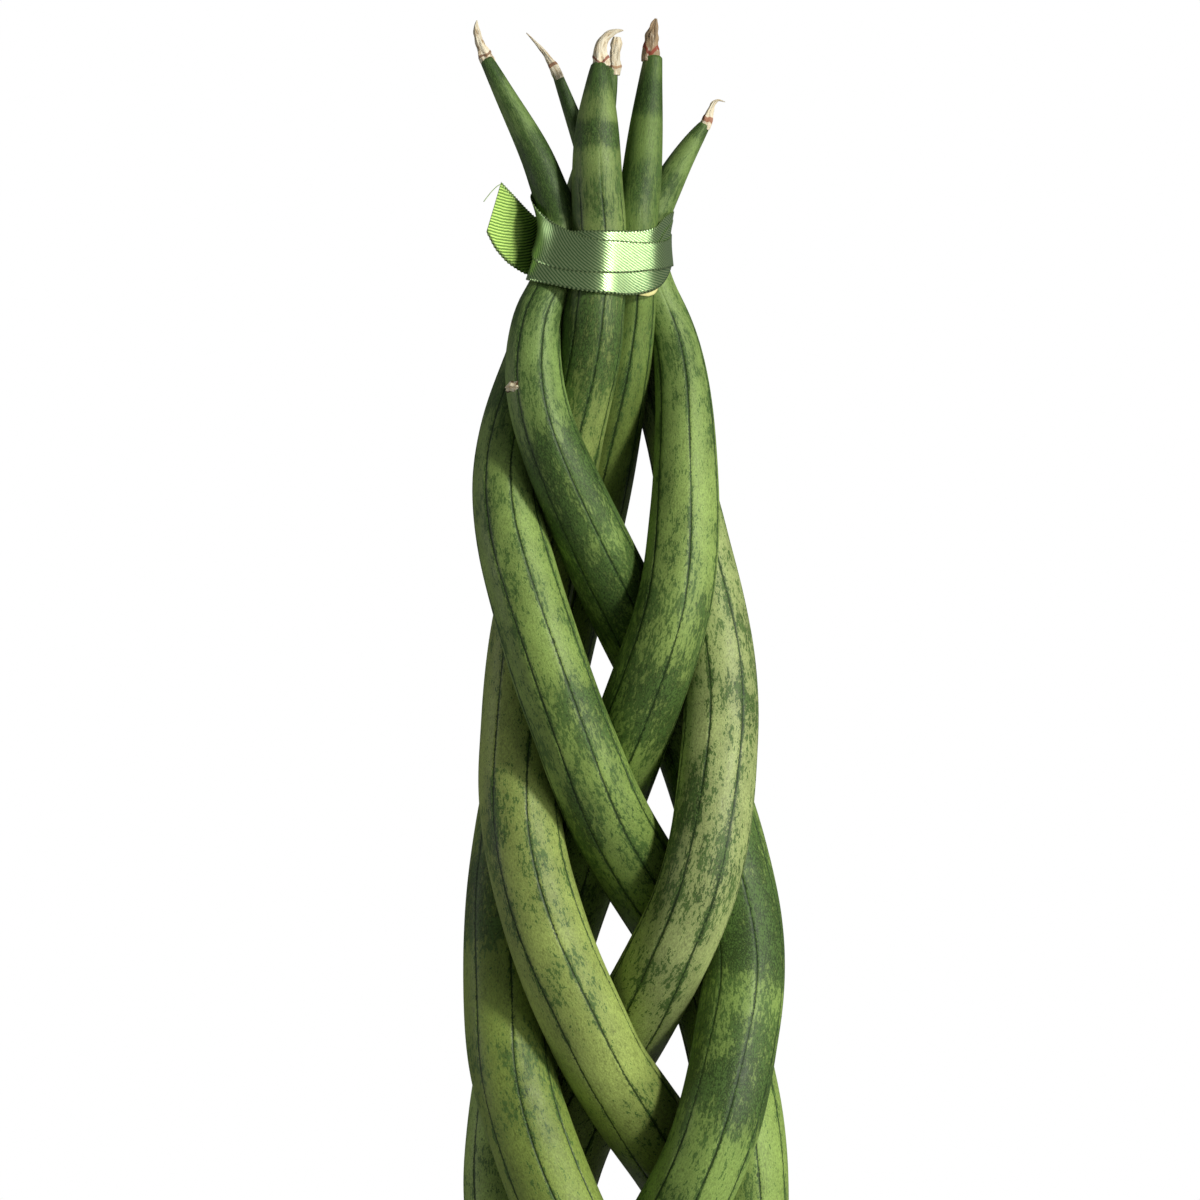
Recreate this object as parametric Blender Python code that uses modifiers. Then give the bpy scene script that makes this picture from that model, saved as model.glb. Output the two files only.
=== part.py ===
"""A braided cylindrical snake plant, tied with ribbon and standing in a plain round pot.

Six thick cylindrical leaves rise from the soil and are plaited into one column. Each leaf
weaves from the left edge of the column to the right and back, a sixth of a plait behind the
next one, and a ribbon gathers all six below their tips. The column is drawn from its front:
X runs to the right, Y away from the viewer and Z up. Sizes below are in millimetres.
"""

import math

import bmesh
import bpy
import numpy as np

MM = 0.001
GAP = 0.4
LEAF_GAP = 0.7

# The pot, and the heights that everything else is measured from the table by
POT_HEIGHT = 130.0
POT_TOP_RADIUS = 76.0
POT_FOOT_RADIUS = 54.0
POT_WALL = 4.5
POT_FLOOR = 6.0
POT_FOOT_RECESS = 2.0
POT_RIM_DEPTH = 26.0
POT_RIM_STEP = 3.0
POT_EDGE = 1.2
DRAIN_RADIUS = 8.0
POT_STEPS = 40
SOIL_HEIGHT = 120.0
SOIL_CROWN = 3.0
SOIL_SHAPE = [(0.0, 1.0), (0.55, 0.7), (0.85, 0.2), (1.0, 0.0)]
HOLE_RINGS = 5
LEAF_FOOT = 96.0
LEAF_TOP = 600.0

# The plait: every leaf turns at one edge of the column, then at the other half a plait later
PLAIT_STEP = 61.2
HALF_PLAIT = 3 * PLAIT_STEP
FIRST_LEFT_TURN = 547.0
PLAIT_MIDDLE = 0.8
PLAIT_REACH = 29.4
PLAIT_DEPTH = 24.0
PLAIT_SPACING = 15.0
ROUTE_SPREAD = 5.0
DEPTH_SPREAD = 8.0

# Leaf girth: diameter at a height on the common, plaited part
GIRTH_HEIGHTS = [LEAF_FOOT, 300.0, 355.0, 405.0, 430.0, 450.0, 465.0, 480.0, 490.0, 504.0]
GIRTH_WIDTHS = [22.5, 21.5, 21.0, 20.0, 19.6, 19.0, 18.3, 17.2, 16.0, 14.4]
TIE_HEIGHT = 532.0
TIE_MIDDLE = 541.0

# How a leaf's surface is divided: grooves all round, and rings along it
LEAF_SIDES = 18
GROOVE_EVERY = 3
GROOVE_SHARE = 0.085
RING_SPACING = 12.5
TIP_STRETCH = 44.0
TIP_RINGS = 8
POINT_RINGS = 4
POINT_START = 0.8
POINT_END = 0.35

# Each leaf: its route in front view as (height, across), how deep it lies as (height, depth
# towards the viewer) round the tie, its girth at the tie, how slowly its tip tapers, and
# the dried point as (height, across). They are listed in the order in which they plait.
LEAVES = {
    "leaf_1": {
        "route": [
            (590.0, -34.8), (576.5, -28.2), (565.8, -22.0), (557.0, -17.6), (550.5, -17.2),
            (543.0, -18.0), (533.0, -20.0), (519.5, -22.8), (509.5, -23.0), (499.5, -21.2), (489.5, -18.5),
            (479.5, -13.8), (469.5, -9.2), (454.5, -1.0), (442.0, 6.2), (426.5, 13.8),
            (413.0, 19.2), (402.5, 22.8), (387.0, 26.4), (372.0, 28.3), (362.0, 28.4),
            (342.5, 27.0), (329.5, 24.5), (319.5, 21.5), (309.5, 17.5),
        ],
        "depths": [(532.0, 3.0), (590.0, 1.0)],
        "tie_girth": 11.6,
        "taper": 27.0,
        "point_girth": 2.8,
        "point": [(595.0, -36.3), (599.6, -37.2)],
    },
    "leaf_2": {
        "route": [
            (588.0, -2.6), (580.0, -4.6), (572.0, -6.2), (563.0, -8.2), (556.0, -10.5),
            (548.0, -13.2), (539.5, -16.2), (529.5, -19.2), (522.0, -21.2), (513.0, -23.8), (506.5, -26.5),
            (498.0, -28.5), (487.0, -29.5), (473.0, -28.5), (464.5, -26.8), (454.5, -24.2),
            (444.5, -21.0), (429.0, -16.0), (417.5, -12.0), (404.5, -6.8), (394.5, -1.5),
            (380.0, 8.5), (371.0, 15.0), (361.0, 20.4), (350.0, 24.4), (338.0, 26.8),
            (326.0, 28.4), (304.5, 29.4),
        ],
        "depths": [(532.0, -9.0), (568.0, -4.0), (588.0, -1.0)],
        "tie_girth": 11.0,
        "taper": 20.0,
        "point_girth": 2.6,
        "point": [(591.5, -2.4), (594.5, -2.4)],
    },
    "leaf_3": {
        "route": [
            (588.5, -6.2), (572.0, -7.0), (559.5, -7.2), (545.0, -7.2), (531.0, -7.0),
            (518.0, -7.8), (507.0, -10.0), (492.0, -14.2), (474.5, -18.2), (452.5, -23.5),
            (429.5, -26.0), (411.0, -26.2), (397.0, -25.5), (384.5, -23.2), (368.0, -18.0),
            (353.0, -12.5), (337.5, -6.0), (329.5, 0.2), (319.0, 9.8), (309.5, 16.8),
        ],
        "depths": [
            (430.0, -5.0), (455.0, -4.0), (470.0, -5.0), (490.0, -5.0), (500.0, -1.0), (510.0, 4.0),
            (520.0, 9.0), (532.0, 12.0), (560.0, 12.0), (588.5, 9.0),
        ],
        "tie_girth": 14.0,
        "taper": 13.5,
        "point_girth": 3.6,
        "point": [(592.5, -5.6), (595.0, -3.8), (596.0, -0.8)],
    },
    "leaf_4": {
        "route": [
            (590.8, 6.8), (579.5, 5.8), (569.5, 5.0), (557.0, 3.8), (547.0, 3.0), (531.0, 2.2),
            (517.0, 1.2), (504.5, -1.2), (484.5, -6.0), (471.5, -9.5), (446.0, -16.8),
            (437.0, -18.8), (403.0, -25.8), (382.0, -29.5), (367.0, -30.2), (354.5, -29.5),
            (333.0, -26.5), (321.0, -23.0), (311.0, -19.2), (304.5, -16.8),
        ],
        "depths": [
            (440.0, -20.0), (460.0, -21.0), (480.0, -19.0), (500.0, -15.0), (518.0, -6.0), (532.0, 0.0),
            (560.0, 2.0), (590.8, 6.0),
        ],
        "tie_girth": 12.0,
        "taper": 20.5,
        "point_girth": 3.6,
        "point": [(595.5, 7.2), (600.0, 7.8)],
    },
    "leaf_5": {
        "route": [
            (574.5, 20.5), (567.8, 15.5), (561.5, 12.0), (556.5, 9.0), (551.5, 6.4),
            (544.5, 4.8), (537.5, 4.8), (532.0, 7.2), (526.0, 10.2), (519.5, 12.8),
            (506.0, 14.8), (489.5, 15.2), (474.5, 15.0), (454.5, 12.8), (444.5, 10.5),
            (429.0, 5.0), (413.0, -1.5), (403.0, -6.2), (380.0, -14.2), (368.5, -18.0),
            (349.5, -23.8), (335.0, -26.8), (314.5, -30.0), (304.5, -30.5),
        ],
        "depths": [(532.0, -9.0), (574.5, -14.0)],
        "tie_girth": 11.0,
        "taper": 15.0,
        "point_girth": 2.4,
        "point": [(578.5, 22.0), (580.6, 23.4), (580.0, 25.6)],
    },
    "leaf_6": {
        "route": [
            (588.5, -18.5), (579.5, -14.2), (569.5, -10.5), (558.0, -6.8), (548.0, -4.0),
            (539.5, -2.0), (529.5, 0.5), (518.0, 3.8), (507.0, 7.5), (498.0, 10.8),
            (487.0, 14.5), (469.5, 17.8), (459.5, 20.0), (448.0, 22.0), (429.5, 23.5),
            (419.5, 23.5), (402.5, 22.2), (393.0, 20.5), (379.5, 17.8), (371.0, 14.8),
            (362.5, 10.2), (350.0, 2.8), (337.5, -5.5), (319.0, -14.0), (308.0, -18.5),
        ],
        "depths": [
            (490.0, -12.0), (505.0, -18.0), (520.0, -18.0), (545.0, -15.0), (568.0, -15.0), (588.5, -16.0),
        ],
        "tie_girth": 11.2,
        "taper": 50.0,
        "point_girth": 2.2,
        "point": [(592.5, -21.5), (597.2, -24.6)],
    },
}

# The ribbon: strip width and wall, and its height at each turn round the bundle
RIBBON_WIDTH = 10.0
RIBBON_THICKNESS = 0.6
RIBBON_LAYER = 0.66
RIBBON_CLEAR = 0.5
RIBBON_TURNS = [
    0.95, 1.1, 1.2, 1.3, 1.5, 1.75, 2.0, 2.12, 2.25, 2.5, 2.75, 2.83, 2.9, 3.0, 3.12, 3.25, 3.38, 3.5, 3.72,
]
RIBBON_HEIGHTS = [
    542.0, 542.0, 543.8, 546.0, 546.0, 542.5, 536.3, 536.4, 539.6, 545.0, 547.0, 546.0, 542.8, 540.4,
    540.4, 541.8, 546.0, 547.0, 543.5,
]
RIBBON_STATIONS_A_TURN = 32
RIBBON_ACROSS = 3
RIBBON_EASE = 5
# How the gathered leaves are felt for: bearings all round, the steepest one that counts, the
# heights above and below that are taken in, and the bearings that a corner is rounded over
BEARINGS = 120
LEAST_COSINE = 0.05
HEIGHTS_FELT = (-1.5, 0.0, 1.5)
ROUNDING = 4
# The loose end: its route as (across, away from the viewer, height), which way its width
# lies at the cut, and how much longer its upper edge is than its lower one
TAIL_ROUTE = [(-28.2, -1.0, 544.0), (-29.8, -3.6, 547.0), (-32.8, -5.0, 551.8)]
TAIL_WIDTH_WAY = (0.7, 0.0, 0.72)
TAIL_CUT = 6.5
TAIL_STATIONS = 6
# The elastic band under the ribbon, a little lower at the right, where it shows
BAND_BOTTOM = 531.2
BAND_DIP = 0.9
BAND_DIP_BEARING = -0.7
BAND_HEIGHT = 1.5
BAND_CLEAR = 0.25
BAND_THICKNESS = 0.45
BAND_STEPS = 44

# Plain colours of the pieces
LEAF_COLOUR = (0.20, 0.33, 0.10)
RIBBON_COLOUR = (0.13, 0.30, 0.12)
BAND_COLOUR = (0.55, 0.58, 0.25)
SOIL_COLOUR = (0.05, 0.035, 0.025)
POT_COLOUR = (0.55, 0.25, 0.15)

# Settling the leaves clear of one another: step along them, how far a touch is looked for,
# how widely a push is spread, and the share of each kind of move that a round makes
SOLVE_STEP = 2.0
SOLVE_REACH = 24.0
SOLVE_SPREAD = 7.0
SOLVE_ROUNDS = 600
FAIR_ROUNDS = 420
FAIR_SPREAD = 12.0
FAIR_SHARE = 0.06
DEPTH_SHARE = 1.2
ACROSS_SHARE = 0.25
HOLD_SHARE = 0.08
TIGHTEN_SHARE = 0.002


def smoothed(values, spread, ends="reflect"):
    """Values along each leaf, averaged with their neighbours under a bell curve.

    The ends are carried on by turning the curve half round its end point, which keeps its
    slope, or with "edge" by repeating the last value.
    """
    half = int(math.ceil(3 * spread / SOLVE_STEP))
    steps = np.arange(-half, half + 1) * SOLVE_STEP
    weights = np.exp(-0.5 * (steps / spread) ** 2)
    weights /= weights.sum()
    options = {"reflect_type": "odd"} if ends == "reflect" else {}
    padded = np.pad(values, half, mode=ends, **options)
    return np.convolve(padded, weights, mode="valid")


def plait_phase(order, height):
    """How far round its plait a leaf is: 0 at its left turn, pi at its right turn."""
    return math.pi * (FIRST_LEFT_TURN - PLAIT_STEP * order - height) / HALF_PLAIT


def plait_across(order, height):
    """The regular plait in front view, for the part below the drawn route."""
    return PLAIT_MIDDLE - PLAIT_REACH * np.cos(plait_phase(order, height))


def plait_depth(order, height):
    """A figure of eight in plan: in front over three leaves, then behind two."""
    phase = plait_phase(order, height)
    return PLAIT_DEPTH * (np.sin(2 * phase) + 0.5 * np.sin(phase))


def leaf_width(name, heights):
    """The leaf's diameter at a height, between its foot and its green tip."""
    leaf = LEAVES[name]
    girth = np.interp(
        heights,
        GIRTH_HEIGHTS + [TIE_HEIGHT, LEAF_TOP],
        GIRTH_WIDTHS + [leaf["tie_girth"], leaf["tie_girth"]],
    )
    fade = np.exp(-np.maximum(leaf["route"][0][0] - heights, 0.0) / leaf["taper"])
    return girth * (1 - fade) + leaf["point_girth"] * fade


def first_lines():
    """All six centre lines before they are settled, one row of the arrays for each leaf.

    Every row runs over the same heights. A leaf stops at its green tip, and its radius is
    zero above that.
    """
    heights = np.arange(LEAF_FOOT, LEAF_TOP, SOLVE_STEP)
    across, depth, radius = np.zeros((3, len(LEAVES), len(heights)))
    for order, (name, leaf) in enumerate(LEAVES.items()):
        drawn = leaf["route"][-1][0]
        regular = np.arange(LEAF_FOOT - PLAIT_SPACING, drawn - 2 * PLAIT_SPACING, PLAIT_SPACING)
        knots = list(zip(regular, plait_across(order, regular))) + leaf["route"][::-1]
        knot_heights, knot_across = np.array(knots).T
        across[order] = smoothed(np.interp(heights, knot_heights, knot_across), ROUTE_SPREAD)
        tie_heights, tie_depths = np.array(leaf["depths"]).T
        tied = np.interp(heights, tie_heights, tie_depths)
        plaited = plait_depth(order, heights)
        depth[order] = smoothed(np.where(heights < tie_heights[0], plaited, tied), DEPTH_SPREAD)
        green = heights <= leaf["route"][0][0]
        radius[order] = np.where(green, leaf_width(name, heights) / 2, 0.0)
    return heights, across, depth, radius


def pushes(across, depth, radius, pairs):
    """How far every point of the leaves should move, across and in depth, to clear the others.

    Two points are clear when they are as far apart as the two radii and the gap together.
    Each of two points that are too near moves half of what is missing, straight away from
    the other. Where several leaves crowd a point, the longest push each way is taken.
    """
    first, second = pairs
    count = depth.shape[1]
    reach = int(SOLVE_REACH / SOLVE_STEP)
    longest, shortest = np.zeros((2, 2) + depth.shape)
    for shift in range(-reach, reach + 1):
        near = slice(max(0, -shift), min(count, count - shift))
        far = slice(near.start + shift, near.stop + shift)
        r1, r2 = radius[first, near], radius[second, far]
        needed = np.where((r1 > 0) & (r2 > 0), r1 + r2 + LEAF_GAP, 0.0)
        away = np.stack([
            across[first, near] - across[second, far],
            depth[first, near] - depth[second, far],
        ])
        apart = np.sqrt((away**2).sum(axis=0) + (shift * SOLVE_STEP) ** 2) + 1e-9
        push = np.maximum(needed - apart, 0.0) / 2 * away / apart
        for row, (one, two) in enumerate(zip(first, second)):
            for axis in range(2):
                move = push[axis, row]
                longest[axis, one, near] = np.maximum(longest[axis, one, near], move)
                shortest[axis, one, near] = np.minimum(shortest[axis, one, near], move)
                longest[axis, two, far] = np.maximum(longest[axis, two, far], -move)
                shortest[axis, two, far] = np.minimum(shortest[axis, two, far], -move)
    return longest + shortest


def settled_lines():
    """The six centre lines, moved until no two leaves overlap anywhere.

    They move freely in depth and only a little across, where the drawn route holds them.
    """
    heights, drawn, depth, radius = first_lines()
    across = drawn.copy()
    pairs = np.triu_indices(len(LEAVES), 1)
    for step in range(SOLVE_ROUNDS):
        push = pushes(across, depth, radius, pairs)
        for row in range(len(LEAVES)):
            sideways, inwards = [smoothed(axis[row], SOLVE_SPREAD, ends="edge") for axis in push]
            across[row] += ACROSS_SHARE * sideways
            depth[row] += DEPTH_SHARE * inwards
            if step < FAIR_ROUNDS:
                across[row] += HOLD_SHARE * (drawn[row] - across[row])
                depth[row] += FAIR_SHARE * (smoothed(depth[row], FAIR_SPREAD) - depth[row])
                depth[row] *= 1 - TIGHTEN_SHARE
    return heights, across, depth, radius


def unit(vectors):
    """Each row of an array of vectors, made one long."""
    return vectors / np.linalg.norm(vectors, axis=-1, keepdims=True)


def spaced(points, stations):
    """Points at the given distances along a path of straight steps."""
    lengths = np.concatenate([[0.0], np.cumsum(np.linalg.norm(np.diff(points, axis=0), axis=1))])
    return np.stack([np.interp(stations, lengths, column) for column in points.T], axis=1)


def path_length(points):
    """The whole length of a path of straight steps."""
    return np.linalg.norm(np.diff(points, axis=0), axis=1).sum()


def leaf_path(row, name, lines):
    """The whole centre line of a leaf, foot to dried point, with its radius at every point."""
    heights, across, depth, radius = lines
    green = radius[row] > 0
    body = np.stack([across[row], -depth[row], heights], axis=1)[green]
    end_depth = body[-1, 1]
    point = [(side, end_depth, height) for height, side in LEAVES[name]["point"]]
    path = np.concatenate([body, point])
    shrink = np.linspace(POINT_START, POINT_END, len(point))
    radii = np.concatenate([radius[row][green], LEAVES[name]["point_girth"] / 2 * shrink])
    return path, radii


def ring_stations(length, point_length):
    """Distances of the rings from the foot: wide apart on the leaf, close on its tip."""
    tip = length - point_length - TIP_STRETCH
    body = np.linspace(0.0, tip, int(round(tip / RING_SPACING)) + 1)
    taper = np.linspace(tip, length - point_length, TIP_RINGS + 1)[1:]
    point = np.linspace(length - point_length, length, POINT_RINGS + 1)[1:]
    return np.concatenate([body, taper, point])


def sweep_frames(path):
    """Two unit vectors across the path at each of its points, carried along without twist."""
    along = unit(np.gradient(path, axis=0))
    sides = [np.cross(along[0], (0.0, 1.0, 0.0))]
    for direction in along[1:]:
        side = sides[-1] - direction * np.dot(direction, sides[-1])
        sides.append(side / np.linalg.norm(side))
    sides = np.array(sides)
    return sides, np.cross(along, sides)


def swept(centres, radii, circle):
    """Rings round a centre line: a unit circle of points, sized and turned at each centre."""
    sides, fronts = sweep_frames(centres)
    spread = circle[None, :, 0, None] * sides[:, None] + circle[None, :, 1, None] * fronts[:, None]
    return centres[:, None] + radii[:, None, None] * spread


def unit_circle(first_share=0.0):
    """Points round a circle, the first of them turned by a share of a step."""
    angles = 2 * math.pi * (np.arange(LEAF_SIDES) + first_share) / LEAF_SIDES
    return np.stack([np.cos(angles), np.sin(angles)], axis=1)


def placed_rings(row, name, lines):
    """Ring centres and radii of a leaf, from its foot to the end of its dried point."""
    path, radii = leaf_path(row, name, lines)
    point_length = path_length(path[-len(LEAVES[name]["point"]) - 1:])
    placed = spaced(np.column_stack([path, radii]), ring_stations(path_length(path), point_length))
    return placed[:, :3], placed[:, 3]


def leaf_rings(row, name, lines):
    """Grooved rings of points along a leaf: every third point lies deeper."""
    centres, radii = placed_rings(row, name, lines)
    grooved = np.where(np.arange(LEAF_SIDES) % GROOVE_EVERY == 0, 1 - GROOVE_SHARE, 1.0)
    return swept(centres, radii, grooved[:, None] * unit_circle(row / len(LEAVES)))


def hole_rings(row, name, lines):
    """Rings of a plain hole a little wider than a leaf's foot, open above the soil."""
    centres, radii = placed_rings(row, name, lines)
    centres, radii = centres[:HOLE_RINGS], radii[:HOLE_RINGS]
    centres[0] -= unit(centres[1] - centres[0]) * GAP
    wider = (radii + GAP) / math.cos(math.pi / LEAF_SIDES)
    return swept(centres, wider, unit_circle(row / len(LEAVES)))


def link(mesh_object, collection, material):
    """An object put in a collection, with its one material."""
    collection.objects.link(mesh_object)
    mesh_object.data.materials.append(material)
    return mesh_object


def lofted(name, rings, collection, material):
    """A closed solid through rings of points, with a flat cap on each end."""
    bm = bmesh.new()
    loops = [[bm.verts.new(point * MM) for point in ring] for ring in rings]
    for lower, upper in zip(loops, loops[1:]):
        for i in range(len(lower)):
            j = (i + 1) % len(lower)
            bm.faces.new((lower[i], lower[j], upper[j], upper[i]))
    bm.faces.new(loops[0][::-1])
    bm.faces.new(loops[-1])
    bmesh.ops.recalc_face_normals(bm, faces=bm.faces)
    mesh = bpy.data.meshes.new(name)
    bm.to_mesh(mesh)
    bm.free()
    mesh.shade_smooth()
    return link(bpy.data.objects.new(name, mesh), collection, material)


def gridded(name, grid, collection, material, thickness):
    """An open strip through a grid of points, given a wall on its outer side."""
    bm = bmesh.new()
    rows = [[bm.verts.new(point * MM) for point in line] for line in grid]
    for one, two in zip(rows, rows[1:]):
        for j in range(len(one) - 1):
            bm.faces.new((one[j], two[j], two[j + 1], one[j + 1]))
    mesh = bpy.data.meshes.new(name)
    bm.to_mesh(mesh)
    bm.free()
    mesh.shade_smooth()
    strip = link(bpy.data.objects.new(name, mesh), collection, material)
    wall = strip.modifiers.new("wall", "SOLIDIFY")
    wall.thickness = thickness * MM
    wall.offset = 1.0
    return strip


class Bundle:
    """The outline of the gathered leaves: how far it reaches each way, at any height."""

    def __init__(self, lines):
        self.heights, self.across, self.depth, self.radius = lines
        near = np.abs(self.heights - TIE_MIDDLE) < RIBBON_WIDTH
        self.centre_x = self.across[:, near].mean()
        self.centre_y = -self.depth[:, near].mean()
        self.bearings = np.linspace(0, 2 * math.pi, BEARINGS, endpoint=False)

    def section(self, height):
        """Centres of the leaves at a height, and radii allowing for how far each leans."""
        values = []
        for row in range(len(LEAVES)):
            x = np.interp(height, self.heights, self.across[row]) - self.centre_x
            y = -np.interp(height, self.heights, self.depth[row]) - self.centre_y
            step = SOLVE_STEP
            lean_x = np.interp(height + step, self.heights, self.across[row]) - x - self.centre_x
            lean_y = -np.interp(height + step, self.heights, self.depth[row]) - y - self.centre_y
            lean = math.sqrt(1 + (lean_x**2 + lean_y**2) / step**2)
            values.append((x, y, lean * np.interp(height, self.heights, self.radius[row])))
        return np.array(values)

    def reach(self, height):
        """Distance from the axis to a band pulled tight round the leaves, for all bearings.

        The band's support in a direction is the furthest that any leaf reaches that way, and
        its distance along a bearing is the least support divided by the cosine between them.
        """
        x, y, r = self.section(height).T
        turn = self.bearings[:, None]
        support = (x * np.cos(turn) + y * np.sin(turn) + r).max(axis=1)
        cosine = np.cos(self.bearings[None, :] - turn)
        distance = support[:, None] / np.maximum(cosine, LEAST_COSINE)
        distance[cosine < LEAST_COSINE] = np.inf
        tight = distance.min(axis=0)
        around = np.concatenate([tight[-ROUNDING:], tight, tight[:ROUNDING]])
        rounded = np.convolve(around, np.full(2 * ROUNDING + 1, 1 / (2 * ROUNDING + 1)), "valid")
        return np.maximum(tight, rounded)

    def point(self, bearing, height, offset):
        """A point at a bearing and height, a little outside the tight band."""
        reaches = [self.reach(height + shift) for shift in HEIGHTS_FELT]
        around = np.append(self.bearings, 2 * math.pi)
        reach = np.max(reaches, axis=0)
        distance = np.interp(bearing % (2 * math.pi), around, np.append(reach, reach[0])) + offset
        return np.array([
            self.centre_x + distance * math.cos(bearing),
            self.centre_y + distance * math.sin(bearing),
            height,
        ])


def bearing_of(turn):
    """Whole turns face the viewer, and a half turn later the ribbon is at the back."""
    return 2 * math.pi * turn - math.pi / 2


def ribbon_grid(bundle):
    """Points across the ribbon at every station: a spiral round the leaves, then the tail."""
    count = int(round((RIBBON_TURNS[-1] - RIBBON_TURNS[0]) * RIBBON_STATIONS_A_TURN))
    turns = np.linspace(RIBBON_TURNS[0], RIBBON_TURNS[-1], count + 1)
    heights = np.interp(turns, RIBBON_TURNS, RIBBON_HEIGHTS)
    eased = np.pad(heights, RIBBON_EASE // 2, mode="edge")
    smooth = np.convolve(eased, np.full(RIBBON_EASE, 1 / RIBBON_EASE), mode="valid")
    widths = np.linspace(-0.5, 0.5, RIBBON_ACROSS + 1) * RIBBON_WIDTH
    slopes = np.gradient(smooth, turns)
    rows = []
    for turn, height, slope in zip(turns, smooth, slopes):
        offset = RIBBON_CLEAR + RIBBON_LAYER * (turn - RIBBON_TURNS[0])
        middle = bundle.point(bearing_of(turn), height, offset)
        radius = math.hypot(middle[0] - bundle.centre_x, middle[1] - bundle.centre_y)
        lean = math.atan2(slope, 2 * math.pi * radius)
        row = []
        for width in widths:
            bearing = bearing_of(turn) - width * math.sin(lean) / radius
            row.append(bundle.point(bearing, height + width * math.cos(lean), offset))
        rows.append(row)
    return np.concatenate([np.array(rows), tail_rows(np.array(rows[-1]))])


def tail_rows(root):
    """The loose end: it springs away from the bundle and turns its inner face to the front."""
    middle, edge = root.mean(axis=0), unit(root[-1] - root[0])
    route = np.concatenate([[middle], TAIL_ROUTE])
    along = unit(route[-1] - route[-2])
    ways = np.linspace(0, 1, TAIL_STATIONS + 1)[1:]
    knots = np.linspace(0, 1, len(route))
    final = unit(np.array(TAIL_WIDTH_WAY))
    widths = np.linspace(-0.5, 0.5, RIBBON_ACROSS + 1) * RIBBON_WIDTH
    rows = []
    for way in ways:
        centre = np.array([np.interp(way, knots, column) for column in route.T])
        across = unit(edge * (1 - way) + final * way)
        cut = TAIL_CUT * way**4 * widths[:, None] / RIBBON_WIDTH
        rows.append(centre + widths[:, None] * across + cut * along)
    return np.array(rows)


def band_rings(bundle):
    """Square sections of the elastic band, all the way round the leaves."""
    rings = []
    outer = BAND_CLEAR + BAND_THICKNESS
    for bearing in np.linspace(0, 2 * math.pi, BAND_STEPS, endpoint=False):
        bottom = BAND_BOTTOM - BAND_DIP * max(0.0, math.cos(bearing - BAND_DIP_BEARING)) ** 4
        top = bottom + BAND_HEIGHT
        rings.append([
            bundle.point(bearing, bottom, BAND_CLEAR),
            bundle.point(bearing, bottom, outer),
            bundle.point(bearing, top, outer),
            bundle.point(bearing, top, BAND_CLEAR),
        ])
    return np.array(rings)


def closed_band(name, rings, collection, material):
    """A closed loop through sections that follow one another round a ring."""
    bm = bmesh.new()
    loops = [[bm.verts.new(point * MM) for point in ring] for ring in rings]
    for one, two in zip(loops, loops[1:] + loops[:1]):
        for i in range(len(one)):
            j = (i + 1) % len(one)
            bm.faces.new((one[i], one[j], two[j], two[i]))
    bmesh.ops.recalc_face_normals(bm, faces=bm.faces)
    mesh = bpy.data.meshes.new(name)
    bm.to_mesh(mesh)
    bm.free()
    return link(bpy.data.objects.new(name, mesh), collection, material)


def turned(name, profile, collection, material, closed):
    """A profile turned about the Z axis, given from the top down its outer side.

    A closed profile makes a ring, and one that is open starts and ends on the axis.
    """
    mesh = bpy.data.meshes.new(name)
    points = [(radius * MM, 0.0, height * MM) for radius, height in profile]
    edges = [(i, (i + 1) % len(points)) for i in range(len(points) if closed else len(points) - 1)]
    mesh.from_pydata(points, edges, [])
    turned_object = link(bpy.data.objects.new(name, mesh), collection, material)
    screw = turned_object.modifiers.new("turn", "SCREW")
    screw.steps = POT_STEPS
    screw.render_steps = POT_STEPS
    screw.use_merge_vertices = True
    screw.merge_threshold = 0.00001
    return turned_object


def pot_radius(height):
    """Outer radius of the pot's plain wall, below its rim."""
    share = height / POT_HEIGHT
    return POT_FOOT_RADIUS + (POT_TOP_RADIUS - POT_RIM_STEP - POT_FOOT_RADIUS) * share


def pot_profile():
    """The pot's wall in section, from its rim down the outside and back up the inside."""
    rim_foot = POT_HEIGHT - POT_RIM_DEPTH
    outer_rim = pot_radius(rim_foot) + POT_RIM_STEP
    recess = POT_FOOT_RADIUS - POT_WALL - POT_FOOT_RECESS
    floor_top = POT_FOOT_RECESS + POT_FLOOR
    return [
        (POT_TOP_RADIUS - POT_EDGE, POT_HEIGHT),
        (POT_TOP_RADIUS, POT_HEIGHT - POT_EDGE),
        (outer_rim, rim_foot + POT_EDGE),
        (outer_rim - POT_EDGE, rim_foot),
        (pot_radius(rim_foot), rim_foot - POT_EDGE / 2),
        (POT_FOOT_RADIUS, POT_EDGE),
        (POT_FOOT_RADIUS - POT_EDGE, 0.0),
        (recess + POT_EDGE, 0.0),
        (recess, POT_FOOT_RECESS),
        (DRAIN_RADIUS, POT_FOOT_RECESS),
        (DRAIN_RADIUS, floor_top),
        (pot_radius(floor_top) - POT_WALL, floor_top),
        (pot_radius(POT_HEIGHT) - POT_WALL, POT_HEIGHT - POT_EDGE),
        (pot_radius(POT_HEIGHT) - POT_WALL + POT_EDGE, POT_HEIGHT),
    ]


def soil_profile():
    """The soil in section, from the axis over its low crown and down to the pot's floor."""
    floor_top = POT_FOOT_RECESS + POT_FLOOR + GAP
    foot = pot_radius(floor_top) - POT_WALL - GAP
    edge = pot_radius(SOIL_HEIGHT) - POT_WALL - GAP
    top = [(edge * out, SOIL_HEIGHT + SOIL_CROWN * up) for out, up in SOIL_SHAPE]
    return top + [(foot, floor_top), (0.0, floor_top)]


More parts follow.
